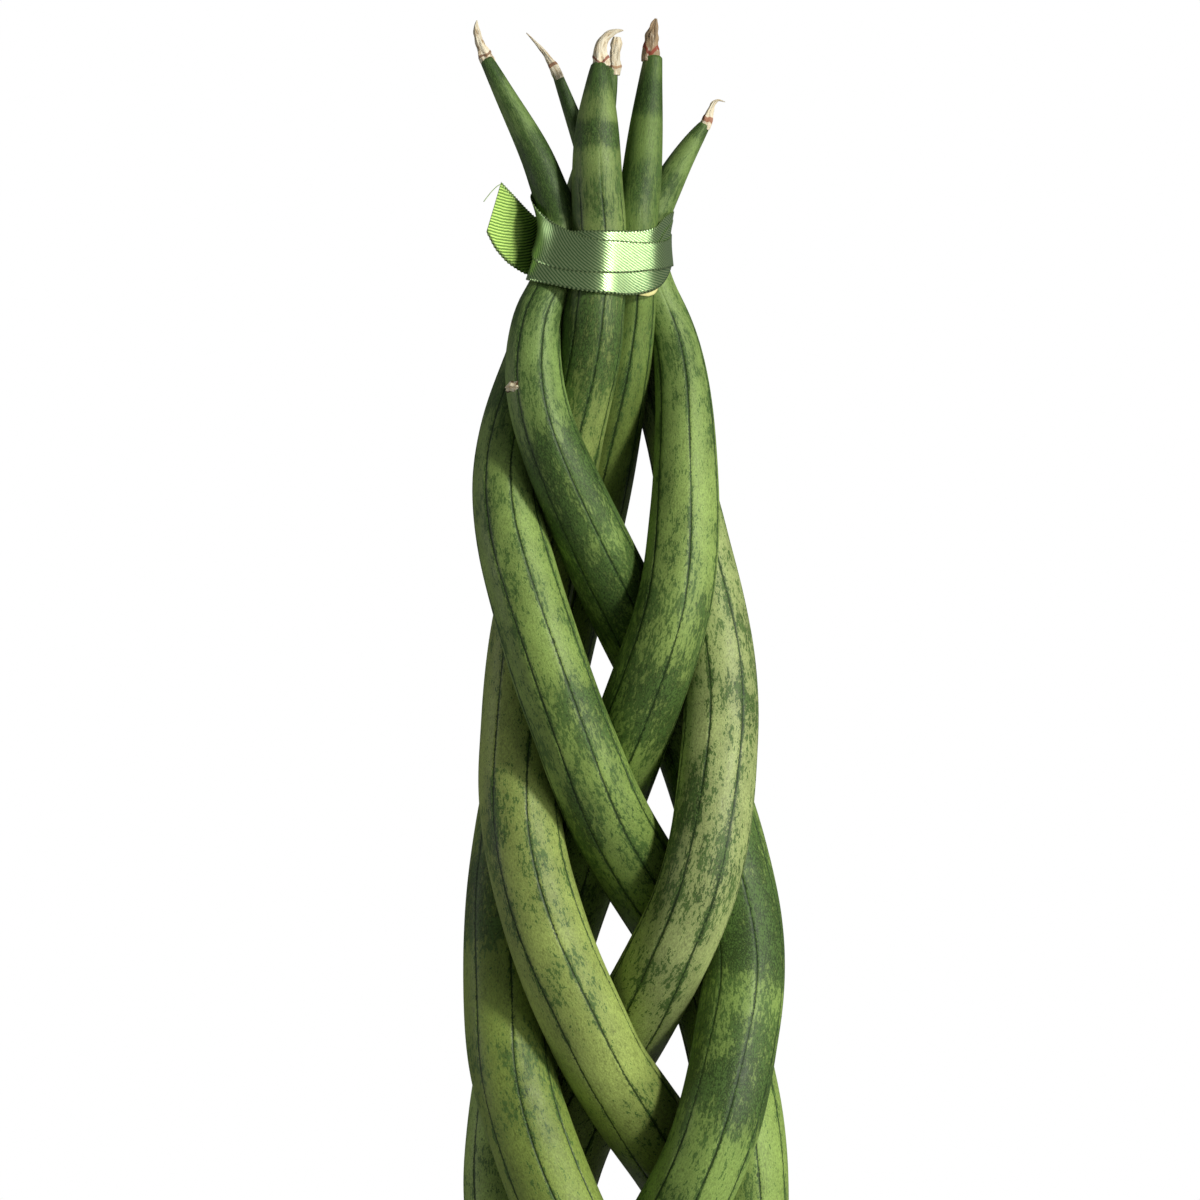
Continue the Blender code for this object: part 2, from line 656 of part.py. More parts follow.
def material(name, colour, roughness):
    """A plain material of one colour."""
    made = bpy.data.materials.new(name)
    made.use_nodes = True
    shader = made.node_tree.nodes["Principled BSDF"]
    shader.inputs["Base Color"].default_value = (*colour, 1.0)
    shader.inputs["Roughness"].default_value = roughness
    shader.inputs["Metallic"].default_value = 0.0
    return made


def new_collection(name):
    """A collection in the scene."""
    collection = bpy.data.collections.new(name)
    bpy.context.scene.collection.children.link(collection)
    return collection


def main():
    for old in list(bpy.data.objects):
        bpy.data.objects.remove(old, do_unlink=True)
    plant = new_collection("cylindrical_snake_plant")
    cutters = new_collection("cutters")
    lines = settled_lines()

    for row, name in enumerate(LEAVES):
        green = material(name + "_green", LEAF_COLOUR, 0.45)
        lofted(name, leaf_rings(row, name, lines), plant, green)

    bundle = Bundle(lines)
    satin = material("ribbon_satin", RIBBON_COLOUR, 0.35)
    gridded("ribbon", ribbon_grid(bundle), plant, satin, RIBBON_THICKNESS)
    rubber = material("band_rubber", BAND_COLOUR, 0.6)
    closed_band("elastic_band", band_rings(bundle), plant, rubber)

    earth = material("soil_dark", SOIL_COLOUR, 0.95)
    soil = turned("soil", soil_profile(), plant, earth, closed=False)
    for row, name in enumerate(LEAVES):
        hole = lofted("hole_for_" + name, hole_rings(row, name, lines), cutters, earth)
        hole.hide_render = True
        hole.display_type = "WIRE"
        cut = soil.modifiers.new("cut_" + name, "BOOLEAN")
        cut.object = hole
        cut.operation = "DIFFERENCE"

    clay = material("pot_clay", POT_COLOUR, 0.8)
    turned("pot", pot_profile(), plant, clay, closed=True)


main()
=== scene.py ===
# %% [markdown]
# # A plaited cylindrical snake plant
#
# Six thick, round leaves of a succulent are plaited while they are supple and tied under their
# dry points with satin ribbon. The plain solids of the plant are already in their places, and
# this script loads them as a frame that it may not move. Every cell below makes one piece or one
# finish around that frame, and prints what it made.

# %% Load the frame
import math

import bpy
import numpy as np
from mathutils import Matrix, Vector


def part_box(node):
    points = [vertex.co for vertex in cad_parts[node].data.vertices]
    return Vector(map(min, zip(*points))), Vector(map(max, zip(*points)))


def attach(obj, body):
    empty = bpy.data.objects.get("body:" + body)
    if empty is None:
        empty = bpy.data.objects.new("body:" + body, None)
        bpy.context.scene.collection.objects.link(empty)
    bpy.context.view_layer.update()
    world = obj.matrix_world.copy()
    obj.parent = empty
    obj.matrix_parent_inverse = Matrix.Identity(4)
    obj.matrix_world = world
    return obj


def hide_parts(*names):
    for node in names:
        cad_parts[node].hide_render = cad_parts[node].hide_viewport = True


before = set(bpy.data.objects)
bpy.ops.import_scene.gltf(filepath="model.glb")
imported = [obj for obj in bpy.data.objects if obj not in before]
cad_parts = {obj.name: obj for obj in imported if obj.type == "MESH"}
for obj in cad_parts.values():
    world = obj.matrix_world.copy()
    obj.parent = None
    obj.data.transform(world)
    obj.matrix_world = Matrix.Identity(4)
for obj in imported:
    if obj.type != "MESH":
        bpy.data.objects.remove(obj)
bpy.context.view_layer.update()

MM = 0.001
LEAVES = sorted(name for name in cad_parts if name.startswith("leaf"))

# %% [markdown]
# ## The camera
#
# A long lens a little over a metre away gives the flat, undistorted look of a catalogue picture.
# The picture is square and shows 300 mm of the plant, so the lens follows from the distance: the
# sensor's width is to the focal length as the width seen is to the distance.

# %% Camera
VIEW_WIDTH = 300 * MM
VIEW_MIDDLE = (-6.25 * MM, 454.5 * MM)
CAMERA_DISTANCE = 1.2

camera = bpy.data.objects.new("camera", bpy.data.cameras.new("camera"))
bpy.context.scene.collection.objects.link(camera)
camera.location = (VIEW_MIDDLE[0], -CAMERA_DISTANCE, VIEW_MIDDLE[1])
camera.rotation_euler = (math.pi / 2, 0.0, 0.0)
camera.data.lens = camera.data.sensor_width * CAMERA_DISTANCE / VIEW_WIDTH
bpy.context.scene.camera = camera
print("camera lens", round(camera.data.lens, 1), "mm")

# %% [markdown]
# ## Writing materials as arithmetic
#
# A material is a small circuit of nodes. Wiring it by hand takes three lines a node, so two small
# classes do the wiring. `Sock` is one output of a node, and adding or multiplying it adds a Math
# node. `Finish` is a whole material, with one method that adds any other node.

# %% Node helpers
class Sock:
    """One output of a shader node. Arithmetic on it adds Math nodes to its finish."""

    def __init__(self, finish, output):
        self.finish = finish
        self.output = output

    def __add__(self, other):
        return self.finish.maths("ADD", self, other)

    def __radd__(self, other):
        return self.finish.maths("ADD", other, self)

    def __sub__(self, other):
        return self.finish.maths("SUBTRACT", self, other)

    def __rsub__(self, other):
        return self.finish.maths("SUBTRACT", other, self)

    def __mul__(self, other):
        return self.finish.maths("MULTIPLY", self, other)

    def __rmul__(self, other):
        return self.finish.maths("MULTIPLY", other, self)


class Finish:
    """A material, and the nodes that feed its Principled shader."""

    def __init__(self, name, **constants):
        self.material = bpy.data.materials.new(name)
        self.material.use_nodes = True
        self.tree = self.material.node_tree
        self.shader = self.tree.nodes["Principled BSDF"]
        for socket, value in constants.items():
            self.feed(self.shader.inputs[socket.replace("_", " ")], value)

    def feed(self, target, value):
        """Link a Sock to a socket, or set the socket's own value."""
        if isinstance(value, Sock):
            self.tree.links.new(value.output, target)
        else:
            target.default_value = value

    def node(self, kind, settings, sockets, output=0):
        """A new node: its settings first, then a value or a link for each named socket."""
        made = self.tree.nodes.new(kind)
        for setting, value in settings.items():
            setattr(made, setting, value)
        for socket, value in sockets.items():
            self.feed(made.inputs[socket], value)
        return Sock(self, made.outputs[output])

    def maths(self, operation, first, second=0.0):
        """A Math node on one value or two."""
        return self.node("ShaderNodeMath", {"operation": operation}, {0: first, 1: second})

    def attribute(self, name, output="Fac"):
        """A value stored on the mesh's points: a number, or with "Vector" three of them."""
        return self.node("ShaderNodeAttribute", {"attribute_name": name}, {}, output)

    def place(self):
        """The point being shaded, in metres from the object's origin."""
        return self.node("ShaderNodeTexCoord", {}, {}, "Object")

    def part(self, where, axis):
        """One coordinate of a place: "X", "Y" or "Z"."""
        return self.node("ShaderNodeSeparateXYZ", {}, {0: where}, axis)

    def stretched(self, where, x, y, z):
        """A place with each axis multiplied, so that a pattern on it is squeezed that much."""
        return self.node("ShaderNodeVectorMath", {"operation": "MULTIPLY"}, {0: where, 1: (x, y, z)})

    def noise(self, where, per_metre, detail=3.0, roughness=0.55):
        """Cloudy noise from 0 to 1, with that many clouds to a metre."""
        sockets = {"Vector": where, "Scale": per_metre, "Detail": detail, "Roughness": roughness}
        return self.node("ShaderNodeTexNoise", {}, sockets)

    def ramp(self, value, low, high, first=0.0, last=1.0):
        """A smooth rise from first to last while the value goes from low to high."""
        sockets = {"Value": value, "From Min": low, "From Max": high, "To Min": first, "To Max": last}
        return self.node("ShaderNodeMapRange", {"interpolation_type": "SMOOTHSTEP"}, sockets)

    def mix(self, share, one, other):
        """One colour where the share is 0, the other where it is 1."""
        sockets = {0: share, 6: one, 7: other}
        return self.node("ShaderNodeMix", {"data_type": "RGBA"}, sockets, 2)

    def shade(self, colour, factor):
        """A colour made darker or lighter by a number."""
        sockets = {0: colour, "Scale": factor}
        return self.node("ShaderNodeVectorMath", {"operation": "SCALE"}, sockets)

    def bump(self, height, distance, strength=1.0):
        """A normal that makes the surface look raised by that height times a distance."""
        sockets = {"Height": height, "Distance": distance, "Strength": strength}
        return self.node("ShaderNodeBump", {}, sockets)

    def wear(self, **links):
        """Link what changes over the surface to the shader, and return the material."""
        for socket, value in links.items():
            self.feed(self.shader.inputs[socket.replace("_", " ")], value)
        return self.material


def colour(red, green, blue):
    """A colour as it looks on a screen, 0 to 255 a channel, turned into linear light."""
    screen = np.array([red, green, blue]) / 255
    light = np.where(screen <= 0.04045, screen / 12.92, ((screen + 0.055) / 1.055) ** 2.4)
    return (*light.tolist(), 1.0)


print("a mid green in linear light:", np.round(colour(110, 140, 70), 3))

# %% [markdown]
# ## Surfaces from arrays
#
# Nearly every piece is a grid of points worked out with numpy: rows along the piece and columns
# round it. One function joins neighbouring points with four-sided faces, closes the ends with
# fans, and turns the faces outwards. Another sweeps an outline along a line.

# %% Mesh helpers
def mesh_object(name, vertices, faces, material):
    """A smooth mesh as an object that rides on the plant."""
    mesh = bpy.data.meshes.new(name)
    mesh.from_pydata(vertices.tolist(), [], faces)
    mesh.shade_smooth()
    mesh.materials.append(material)
    made = bpy.data.objects.new(name, mesh)
    bpy.context.scene.collection.objects.link(made)
    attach(made, "root")
    return made


def surface(name, points, material, round_rows=False, values=None):
    """A closed mesh through a grid of points, with values stored on them.

    Points are rows x columns x 3, in metres. Four neighbours make a face. The last column joins
    the first. The last row does so too if rows go round, and otherwise a fan to its middle closes
    each end. The faces are reversed if the volume, the sum of a . (b x c) / 6 over their
    triangles, is below zero.
    """
    rows, columns = points.shape[:2]
    index = np.arange(rows * columns).reshape(rows, columns)
    lower = index if round_rows else index[:-1]
    upper = np.roll(index, -1, axis=0) if round_rows else index[1:]
    right = [np.roll(part, -1, axis=1) for part in (lower, upper)]
    quads = np.stack([lower, right[0], right[1], upper], axis=-1).reshape(-1, 4)
    vertices = points.reshape(-1, 3)
    fans = np.zeros((0, 3), int)
    if not round_rows:
        first, last = len(vertices), len(vertices) + 1
        vertices = np.vstack([vertices, points[0].mean(axis=0), points[-1].mean(axis=0)])
        start = np.stack([np.roll(index[0], -1), index[0], np.full(columns, first)], axis=1)
        end = np.stack([index[-1], np.roll(index[-1], -1), np.full(columns, last)], axis=1)
        fans = np.concatenate([start, end])
    triangles = np.concatenate([quads[:, :3], quads[:, [0, 2, 3]], fans])
    a, b, c = vertices[triangles].transpose(1, 0, 2)
    volume = (a * np.cross(b, c)).sum() / 6
    if volume < 0:
        quads, fans = quads[:, ::-1], fans[:, ::-1]
    made = mesh_object(name, vertices, quads.tolist() + fans.tolist(), material)
    for key, grid in (values or {}).items():
        depth = grid.shape[2] if grid.ndim == 3 else 1
        flat = grid.reshape(-1, depth)
        if not round_rows:
            ends = [part.reshape(-1, depth).mean(axis=0) for part in (grid[0], grid[-1])]
            flat = np.vstack([flat, *ends])
        kind, field = ("FLOAT_VECTOR", "vector") if depth == 3 else ("FLOAT", "value")
        stored = made.data.attributes.new(key, kind, "POINT").data
        stored.foreach_set(field, flat.astype("f").ravel())
    print(f"{name}: {len(quads) + len(fans)} faces, {abs(volume) * 1e6:.2f} ml")
    return made


def joined(*parts):
    """Arrays of coordinates, widened to one shape and joined as points."""
    return np.stack(np.broadcast_arrays(*parts), axis=-1)


def all_round(count):
    """Angles evenly round a circle, in radians."""
    return np.linspace(0, 2 * math.pi, count, endpoint=False)


def swept(centres, side, up, across, height):
    """Outlines swept along a line: each point is centre + across side + height up."""
    return centres[:, None] + across[..., None] * side[:, None] + height[..., None] * up[:, None]


print("quarters of a circle:", np.round(all_round(4), 2))

# %% [markdown]
# ## Lines and noise
#
# Paths are lists of points, and these helpers measure them, read values off them and smooth them.
# The noise is a sum of sine waves in random directions, seeded so that it is the same each time.

# %% Helpers for lines and noise
def ripple(places, size, seed, waves=24):
    """Smooth noise with a spread of 1 at each place, the last axis of an array.

    It is the sum of sines of the distance along random directions, divided by the root of half
    their number. The size is the usual distance from crest to crest, and each wave's own is 0.7
    to 1.4 times that.
    """
    draw = np.random.default_rng(seed)
    ways = draw.normal(size=(waves, places.shape[-1]))
    ways /= np.linalg.norm(ways, axis=1, keepdims=True)
    turns = 2 * math.pi * ways / (size * draw.uniform(0.7, 1.4, (waves, 1)))
    return np.sin(places @ turns.T + draw.uniform(0, 2 * math.pi, waves)).sum(-1) / math.sqrt(waves / 2)


def unit(vectors):
    """Each vector of an array, made one long."""
    return vectors / np.linalg.norm(vectors, axis=-1, keepdims=True)


def along(points):
    """Distance from the start of a path to each of its points."""
    steps = np.linalg.norm(np.diff(points, axis=0), axis=1)
    return np.concatenate([[0.0], np.cumsum(steps)])


def at(stations, known, values):
    """Values known at some stations, read off at others, column by column."""
    values = np.asarray(values, float)
    if values.ndim == 1:
        return np.interp(stations, known, values)
    return np.stack([np.interp(stations, known, column) for column in values.T], axis=-1)


def eased(values, spread):
    """Evenly spaced values averaged under a bell curve, a spread given in steps.

    Past its ends the line is carried on by turning it half round the end, which keeps its slope.
    """
    half = int(math.ceil(3 * spread))
    bell = np.exp(-0.5 * (np.arange(-half, half + 1) / spread) ** 2)
    bell /= bell.sum()
    columns = np.atleast_2d(np.asarray(values, float).T)
    padded = [np.pad(line, half, mode="reflect", reflect_type="odd") for line in columns]
    smooth = np.stack([np.convolve(line, bell, mode="valid") for line in padded], axis=-1)
    return smooth[:, 0] if np.ndim(values) == 1 else smooth


test_places = np.random.default_rng(1).uniform(size=(999, 3))
print("ripple spread:", round(float(ripple(test_places, 0.1, 2).std()), 2))

# %% [markdown]
# ## Where each leaf runs
#
# The frame's leaves are coarse solids, so each one is measured and a finer leaf is swept over it.
# A level plane cuts a leaf in a closed outline. Its area and centre follow from the straight
# pieces that the plane makes in the triangles it crosses, so no sorting is needed. The centres of
# many cuts are the leaf's centre line. The area, seen square to that line, gives its radius.

# %% Measure the leaves
CUT_STEP = 2.5 * MM
# The cuts stay this far from the foot and from the green end
FOOT_MARGIN, END_MARGIN = 4.0 * MM, 2.0 * MM
# The measured line is eased over this many cuts
LINE_SPREAD = 2.2
# The area inside a solid leaf's grooved outline, for a radius of 1
RING_SHARE = 2.904
# How fast a leaf narrows to its green end, and how fast it bends there
END_TAPER, END_BEND = 4.0 * MM, 8.0 * MM
# Where the green ends and how wide it is there, in mm
GREEN_ENDS = {
    "leaf_1": (590.0, 3.2), "leaf_2": (588.0, 2.4), "leaf_3": (588.5, 4.0),
    "leaf_4": (590.8, 4.5), "leaf_5": (574.5, 2.7), "leaf_6": (588.5, 2.2),
}
# How far some green ends bend to the right of their solids, in mm
END_SHIFTS = {"leaf_1": -0.9, "leaf_4": 0.5, "leaf_5": 1.4}


def corners_of(node):
    """The corners of every triangle of a frame node, triangles x 3 x 3."""
    mesh = node.data
    mesh.calc_loop_triangles()
    places = np.empty(len(mesh.vertices) * 3)
    mesh.vertices.foreach_get("co", places)
    index = np.empty(len(mesh.loop_triangles) * 3, np.int32)
    mesh.loop_triangles.foreach_get("vertices", index)
    return places.reshape(-1, 3)[index.reshape(-1, 3)]


def level_cut(corners, height):
    """Area and centre of a closed mesh's cut at a height.

    A crossed triangle has one corner alone on its side of the plane. The plane meets the two
    edges from that corner at p and q. With the sign of the side, the cut's area is half the sum
    of p x q, and its centre is the sum of (p + q)(p x q) over six times the area.
    """
    above = corners[:, :, 2] > height
    crossed = above.any(axis=1) & ~above.all(axis=1)
    corners, above = corners[crossed], above[crossed]
    one_above = above.sum(axis=1) == 1
    alone = np.where(one_above[:, None], above, ~above).argmax(axis=1)
    turned = np.take_along_axis(corners, ((alone[:, None] + np.arange(3)) % 3)[:, :, None], axis=1)
    share = (height - turned[:, :1, 2]) / (turned[:, 1:, 2] - turned[:, :1, 2])
    met = turned[:, :1, :2] + share[:, :, None] * (turned[:, 1:, :2] - turned[:, :1, :2])
    p, q = met[:, 0], met[:, 1]
    cross = (p[:, 0] * q[:, 1] - p[:, 1] * q[:, 0]) * np.where(one_above, 1, -1)
    area = cross.sum() / 2
    return abs(area), ((p + q) * cross[:, None]).sum(axis=0) / (6 * area)


def leaf_line(name):
    """A leaf's centre line and radii from its foot to its green end, evenly spaced."""
    low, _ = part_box(name)
    top, end_width = np.array(GREEN_ENDS[name]) * MM
    heights = np.arange(low.z + FOOT_MARGIN, top - END_MARGIN, CUT_STEP)
    corners = corners_of(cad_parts[name])
    areas, middles = zip(*[level_cut(corners, height) for height in heights])
    centres = np.column_stack([middles, heights])
    lean = unit(np.gradient(centres, axis=0))[:, 2]
    radii = np.sqrt(np.array(areas) * lean / RING_SHARE)
    slope = (centres[-1] - centres[-4]) / (heights[-1] - heights[-4])
    centres = np.vstack([centres, centres[-1] + slope * (top - heights[-1])])
    radii = np.append(radii, radii[-1])
    smooth = eased(np.column_stack([centres, radii]), LINE_SPREAD)
    centres, radii = smooth[:, :3], smooth[:, 3]
    to_end = along(centres)[-1] - along(centres)
    centres[:, 0] += END_SHIFTS.get(name, 0.0) * MM * np.exp(-to_end / END_BEND)
    return centres, radii + (end_width / 2 - radii[-1]) * np.exp(-to_end / END_TAPER)


LINES = {name: leaf_line(name) for name in LEAVES}
for name, (centres, radii) in LINES.items():
    length = round(along(centres)[-1] / MM)
    print(name, "length", length, "mm, radius", np.round(radii[[5, 90, -2]] / MM, 1))

# %% [markdown]
# ## The grown leaves
#
# A leaf is nearly round, with six to eight fine furrows along it and a slightly flattened face
# between each two. Sweeping one outline along the measured line makes the whole leaf. The points
# of the outline crowd together at each furrow, so a furrow half a millimetre wide needs few faces.
# Each point also keeps where it would be on a straight leaf, and how far it is from a furrow, and
# the finish reads both, so that its marks bend with the leaf.

# %% Leaf shape
# How far apart the rings of points are, and the radius of the straight leaf that marks lie on
RING_STEP, STRAIGHT_RADIUS = 1.6 * MM, 10.5 * MM
# Where the points of one face lie between its furrows, and how much the face is flattened
FACE_SHARES = np.array([0, 0.012, 0.026, 0.05, 0.1, 0.2, 0.35, 0.5, 0.65, 0.8, 0.9, 0.95, 0.974, 0.988])
FACE_FLATNESS = 0.008
FURROW_DEPTH, FURROW_HALF = 0.2 * MM, 0.26 * MM
# How much further off a furrow counts where it is shallow and where it has not begun, in mm
SHALLOW_AWAY, UNGROWN_AWAY = 0.1, 3.0
# The furrows sway by this angle and change depth over these lengths
FURROW_SWAY, FURROW_SWAY_LENGTH, FURROW_DEPTH_LENGTH = math.radians(3), 90 * MM, 50 * MM
# How far from the green end each leaf's furrows start, in mm, and how far they take to grow
FURROW_STARTS = {"leaf_1": 52, "leaf_2": 50, "leaf_3": 20, "leaf_4": 36, "leaf_5": 40, "leaf_6": 50}
FURROW_GROWTH = 14 * MM
# How uneven the skin is, and over what length
SKIN_WANDER, SKIN_LENGTH = 0.05 * MM, 25 * MM
# The green end closes in a curve this long, with a ring at each of these angles
END_ROUND = 1.1 * MM
END_ANGLES = np.radians(np.arange(12, 88, 12))
# The ribbon squeezes the leaves together: about which line, how far up and down, and how much
SQUEEZE_LINE = np.array([-1.0, -1.0]) * MM
TIE_HEIGHT, TIE_REACH, TIE_SQUEEZE = 541.5 * MM, 13.0 * MM, 0.085
# How far it also presses some of them to the right and away from the viewer, in mm
TIE_SHIFTS = {"leaf_1": (0.9, 0.6), "leaf_3": (0.0, 2.0), "leaf_4": (0.0, -2.0)}
# Where a leaf is a little thicker than its solid: height, reach, added radius and shift in mm
SWELLINGS = {
    "leaf_1": (512, 16, 0.6, -0.5), "leaf_2": (403, 14, 0.15, -0.35), "leaf_3": (519, 17, 0.8, 0.0),
}
# Furrows: how many, the bearing of one of them in degrees from the front towards the right, at
# this share of the leaf, and how far it drifts from foot to end
FURROWS = {
    "leaf_1": (7, 12, 10), "leaf_2": (8, 16, -8), "leaf_3": (7, 14, -6),
    "leaf_4": (7, 6, 8), "leaf_5": (6, 13, -8), "leaf_6": (7, 30, 6),
}
FURROW_SHARE = 0.6
# Dark bands from the top of each leaf down, partly the leaf's own markings and partly painted
# shade where other leaves overhang it: height and half height in mm, and strength
BANDS_AND_PAINTED_SHADE = {
    "leaf_1": [(588, 4, 0.8), (575, 8, 0.35), (558, 10, 1.0), (527, 7, 0.6), (484, 13, 0.9),
               (459, 9, 0.75), (388, 10, 0.8), (368, 8, 0.5), (352, 24, 0.7), (330, 8, 0.4)],
    "leaf_2": [(580, 6, 0.6), (508, 11, 0.8), (478, 5, 0.4), (424, 9, 0.6), (408, 4, 0.4)],
    "leaf_3": [(587, 6, 1.0), (569.5, 3.5, 1.0), (555, 6, 0.6), (520, 12, 0.85), (480, 5, 0.3)],
    "leaf_4": [(589, 3, 0.5), (580, 4.5, 1.0), (558, 7, 0.75), (520, 9, 0.3), (378, 11, 0.8),
               (338, 12, 0.45)],
    "leaf_5": [(573, 2.5, 0.8), (559, 3.5, 0.7), (515, 10, 0.4), (448, 9, 0.6), (430, 8, 0.75)],
    "leaf_6": [(584, 5, 0.7), (572, 8, 0.7), (440, 12, 0.45), (386, 8, 0.4)],
}


def squeezed(name, centres, radii):
    """Leaf centres drawn towards the middle of the tie, most at its height, and their radii.

    Some are also pressed a little aside, so that the ribbon lies flat over them, and some swell
    and shift a little lower down. All of it follows bell curves of the height.
    """
    share = np.exp(-(((centres[:, 2] - TIE_HEIGHT) / TIE_REACH) ** 4))
    moved = centres.copy()
    moved[:, :2] += TIE_SQUEEZE * share[:, None] * (SQUEEZE_LINE - centres[:, :2])
    moved[:, :2] += share[:, None] * np.array(TIE_SHIFTS.get(name, (0.0, 0.0))) * MM
    height, reach, added, shift = np.array(SWELLINGS.get(name, (0, 1, 0, 0))) * MM
    swollen = np.exp(-(((centres[:, 2] - height) / reach) ** 2))
    moved[:, 0] += shift * swollen
    return moved, radii + added * swollen


def sweep(centres):
    """Two unit vectors across a rising line: one to the right, one away from the viewer."""
    forward = unit(np.gradient(centres, axis=0))
    side = unit(np.cross((0.0, 1.0, 0.0), forward))
    return side, np.cross(forward, side)


def ring_angles(name, stations, end):
    """Bearing of every outline point, ring by ring, and its share of the face it lies on."""
    count, first, drift = FURROWS[name]
    faces = (np.arange(count)[:, None] + FACE_SHARES).ravel() / count
    sway = ripple(stations[:, None], FURROW_SWAY_LENGTH, 7) * FURROW_SWAY
    start = math.radians(first - 90) + math.radians(drift) * (stations / end - FURROW_SHARE) + sway
    return start[:, None] + 2 * math.pi * faces, np.tile(FACE_SHARES, count)


def band_and_shade_values(name, heights):
    """How dark each height is, from the leaf's own bands and from painted shade: the sum of bell curves at
    them.
    """
    bands = np.array(BANDS_AND_PAINTED_SHADE[name], float)
    away = (heights[..., None] / MM - bands[:, 0]) / bands[:, 1]
    return (bands[:, 2] * np.exp(-0.5 * away**4)).sum(axis=-1)


def leaf_surface(name, finish):
    """The leaf as rings of points: centre + r (cos a side + sin a back).

    r is the leaf's radius, less a flattening that follows a half sine across each face, less a
    bell-shaped furrow at each face's edge that fades out towards the tip. The stored distance
    from a furrow is a little longer where the furrow is shallow, so that its line is fainter.
    """
    line, known_radii = TIED[name]
    length = along(line)
    stations = np.linspace(0, length[-1] - END_ROUND, int(length[-1] / RING_STEP))
    stations = np.append(stations, length[-1] - END_ROUND * (1 - np.sin(END_ANGLES)))
    centres, radii = at(stations, length, line), at(stations, length, known_radii)
    radii = radii * np.sqrt(1 - np.clip(1 - (length[-1] - stations) / END_ROUND, 0, 1) ** 2)
    angle, share = ring_angles(name, stations, length[-1])
    side, back = sweep(centres)
    count = FURROWS[name][0]
    away = np.minimum(share, 1 - share)[None, :] * 2 * math.pi / count * radii[:, None]
    to_tip = length[-1] - stations
    grown = np.clip((to_tip - FURROW_STARTS[name] * MM) / FURROW_GROWTH, 0, 1)
    wave = ripple(stations[:, None], FURROW_DEPTH_LENGTH, len(name) + count)
    deep = grown * np.clip(0.75 + 0.3 * wave, 0.3, 1)
    across, through = STRAIGHT_RADIUS * np.cos(angle), STRAIGHT_RADIUS * np.sin(angle)
    straight = joined(across, through, stations[:, None])
    flat = FACE_FLATNESS * (radii * grown)[:, None] * np.sin(math.pi * share)
    furrow = FURROW_DEPTH * deep[:, None] * np.exp(-((away / FURROW_HALF) ** 2))
    uneven = SKIN_WANDER * ripple(straight, SKIN_LENGTH, LEAVES.index(name))
    radius = radii[:, None] - flat - furrow + uneven
    points = swept(centres, side, back, radius * np.cos(angle), radius * np.sin(angle))
    values = {
        "straight": straight,
        "furrow": away / MM + (SHALLOW_AWAY * (1 - deep) + UNGROWN_AWAY * (1 - grown))[:, None],
        # band: darkness by height, partly the leaf's own bands and partly painted shade
        "band": np.broadcast_to(band_and_shade_values(name, centres[:, 2])[:, None], angle.shape),
    }
    made = surface(name + "_grown", points, finish, values=values)
    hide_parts(name)
    return made


TIED = {name: squeezed(name, *LINES[name]) for name in LEAVES}
print("furrows:", {name: FURROWS[name][0] for name in LEAVES})

# %% [markdown]
# ## The leaf's skin
#
# The skin is a waxy mid green. It turns yellower lower down, where the leaf is older. Darker
# bands cross it, partly the leaf's own markings and partly painted shade where other leaves
# overhang it, but they break up into specks, because the green lies in separate cells. Noise
# on the straight leaf's coordinates makes all of it: a wide cloud decides where a band frays, and
# a fine one, drawn out along the leaf, makes the specks. The furrows are thin dark lines.

# %% Leaf finish
# The colour low down changes into the one near the tip between these heights
OLD_HEIGHT, YOUNG_HEIGHT = 430 * MM, 570 * MM
# How many of each there are to a metre
CLOUDS, PATCHES, DASHES, GRAINS = 75, 260, 1400, 2400
# Colours of each leaf low down and near its tip, and how many specks it has from 0 to 1
SKINS = {
    "leaf_1": ((146, 174, 90), (130, 158, 88), 0.5),
    "leaf_2": ((146, 172, 88), (126, 152, 86), 0.5),
    "leaf_3": ((160, 177, 94), (130, 152, 84), 0.35),
    "leaf_4": ((140, 160, 76), (116, 142, 72), 0.35),
    "leaf_5": ((156, 182, 96), (132, 158, 88), 0.5),
    "leaf_6": ((178, 192, 122), (124, 148, 88), 0.62),
}
DARK_GREENS = ((30, 52, 20), (78, 108, 50))
FURROW_GREEN = (34, 56, 22)


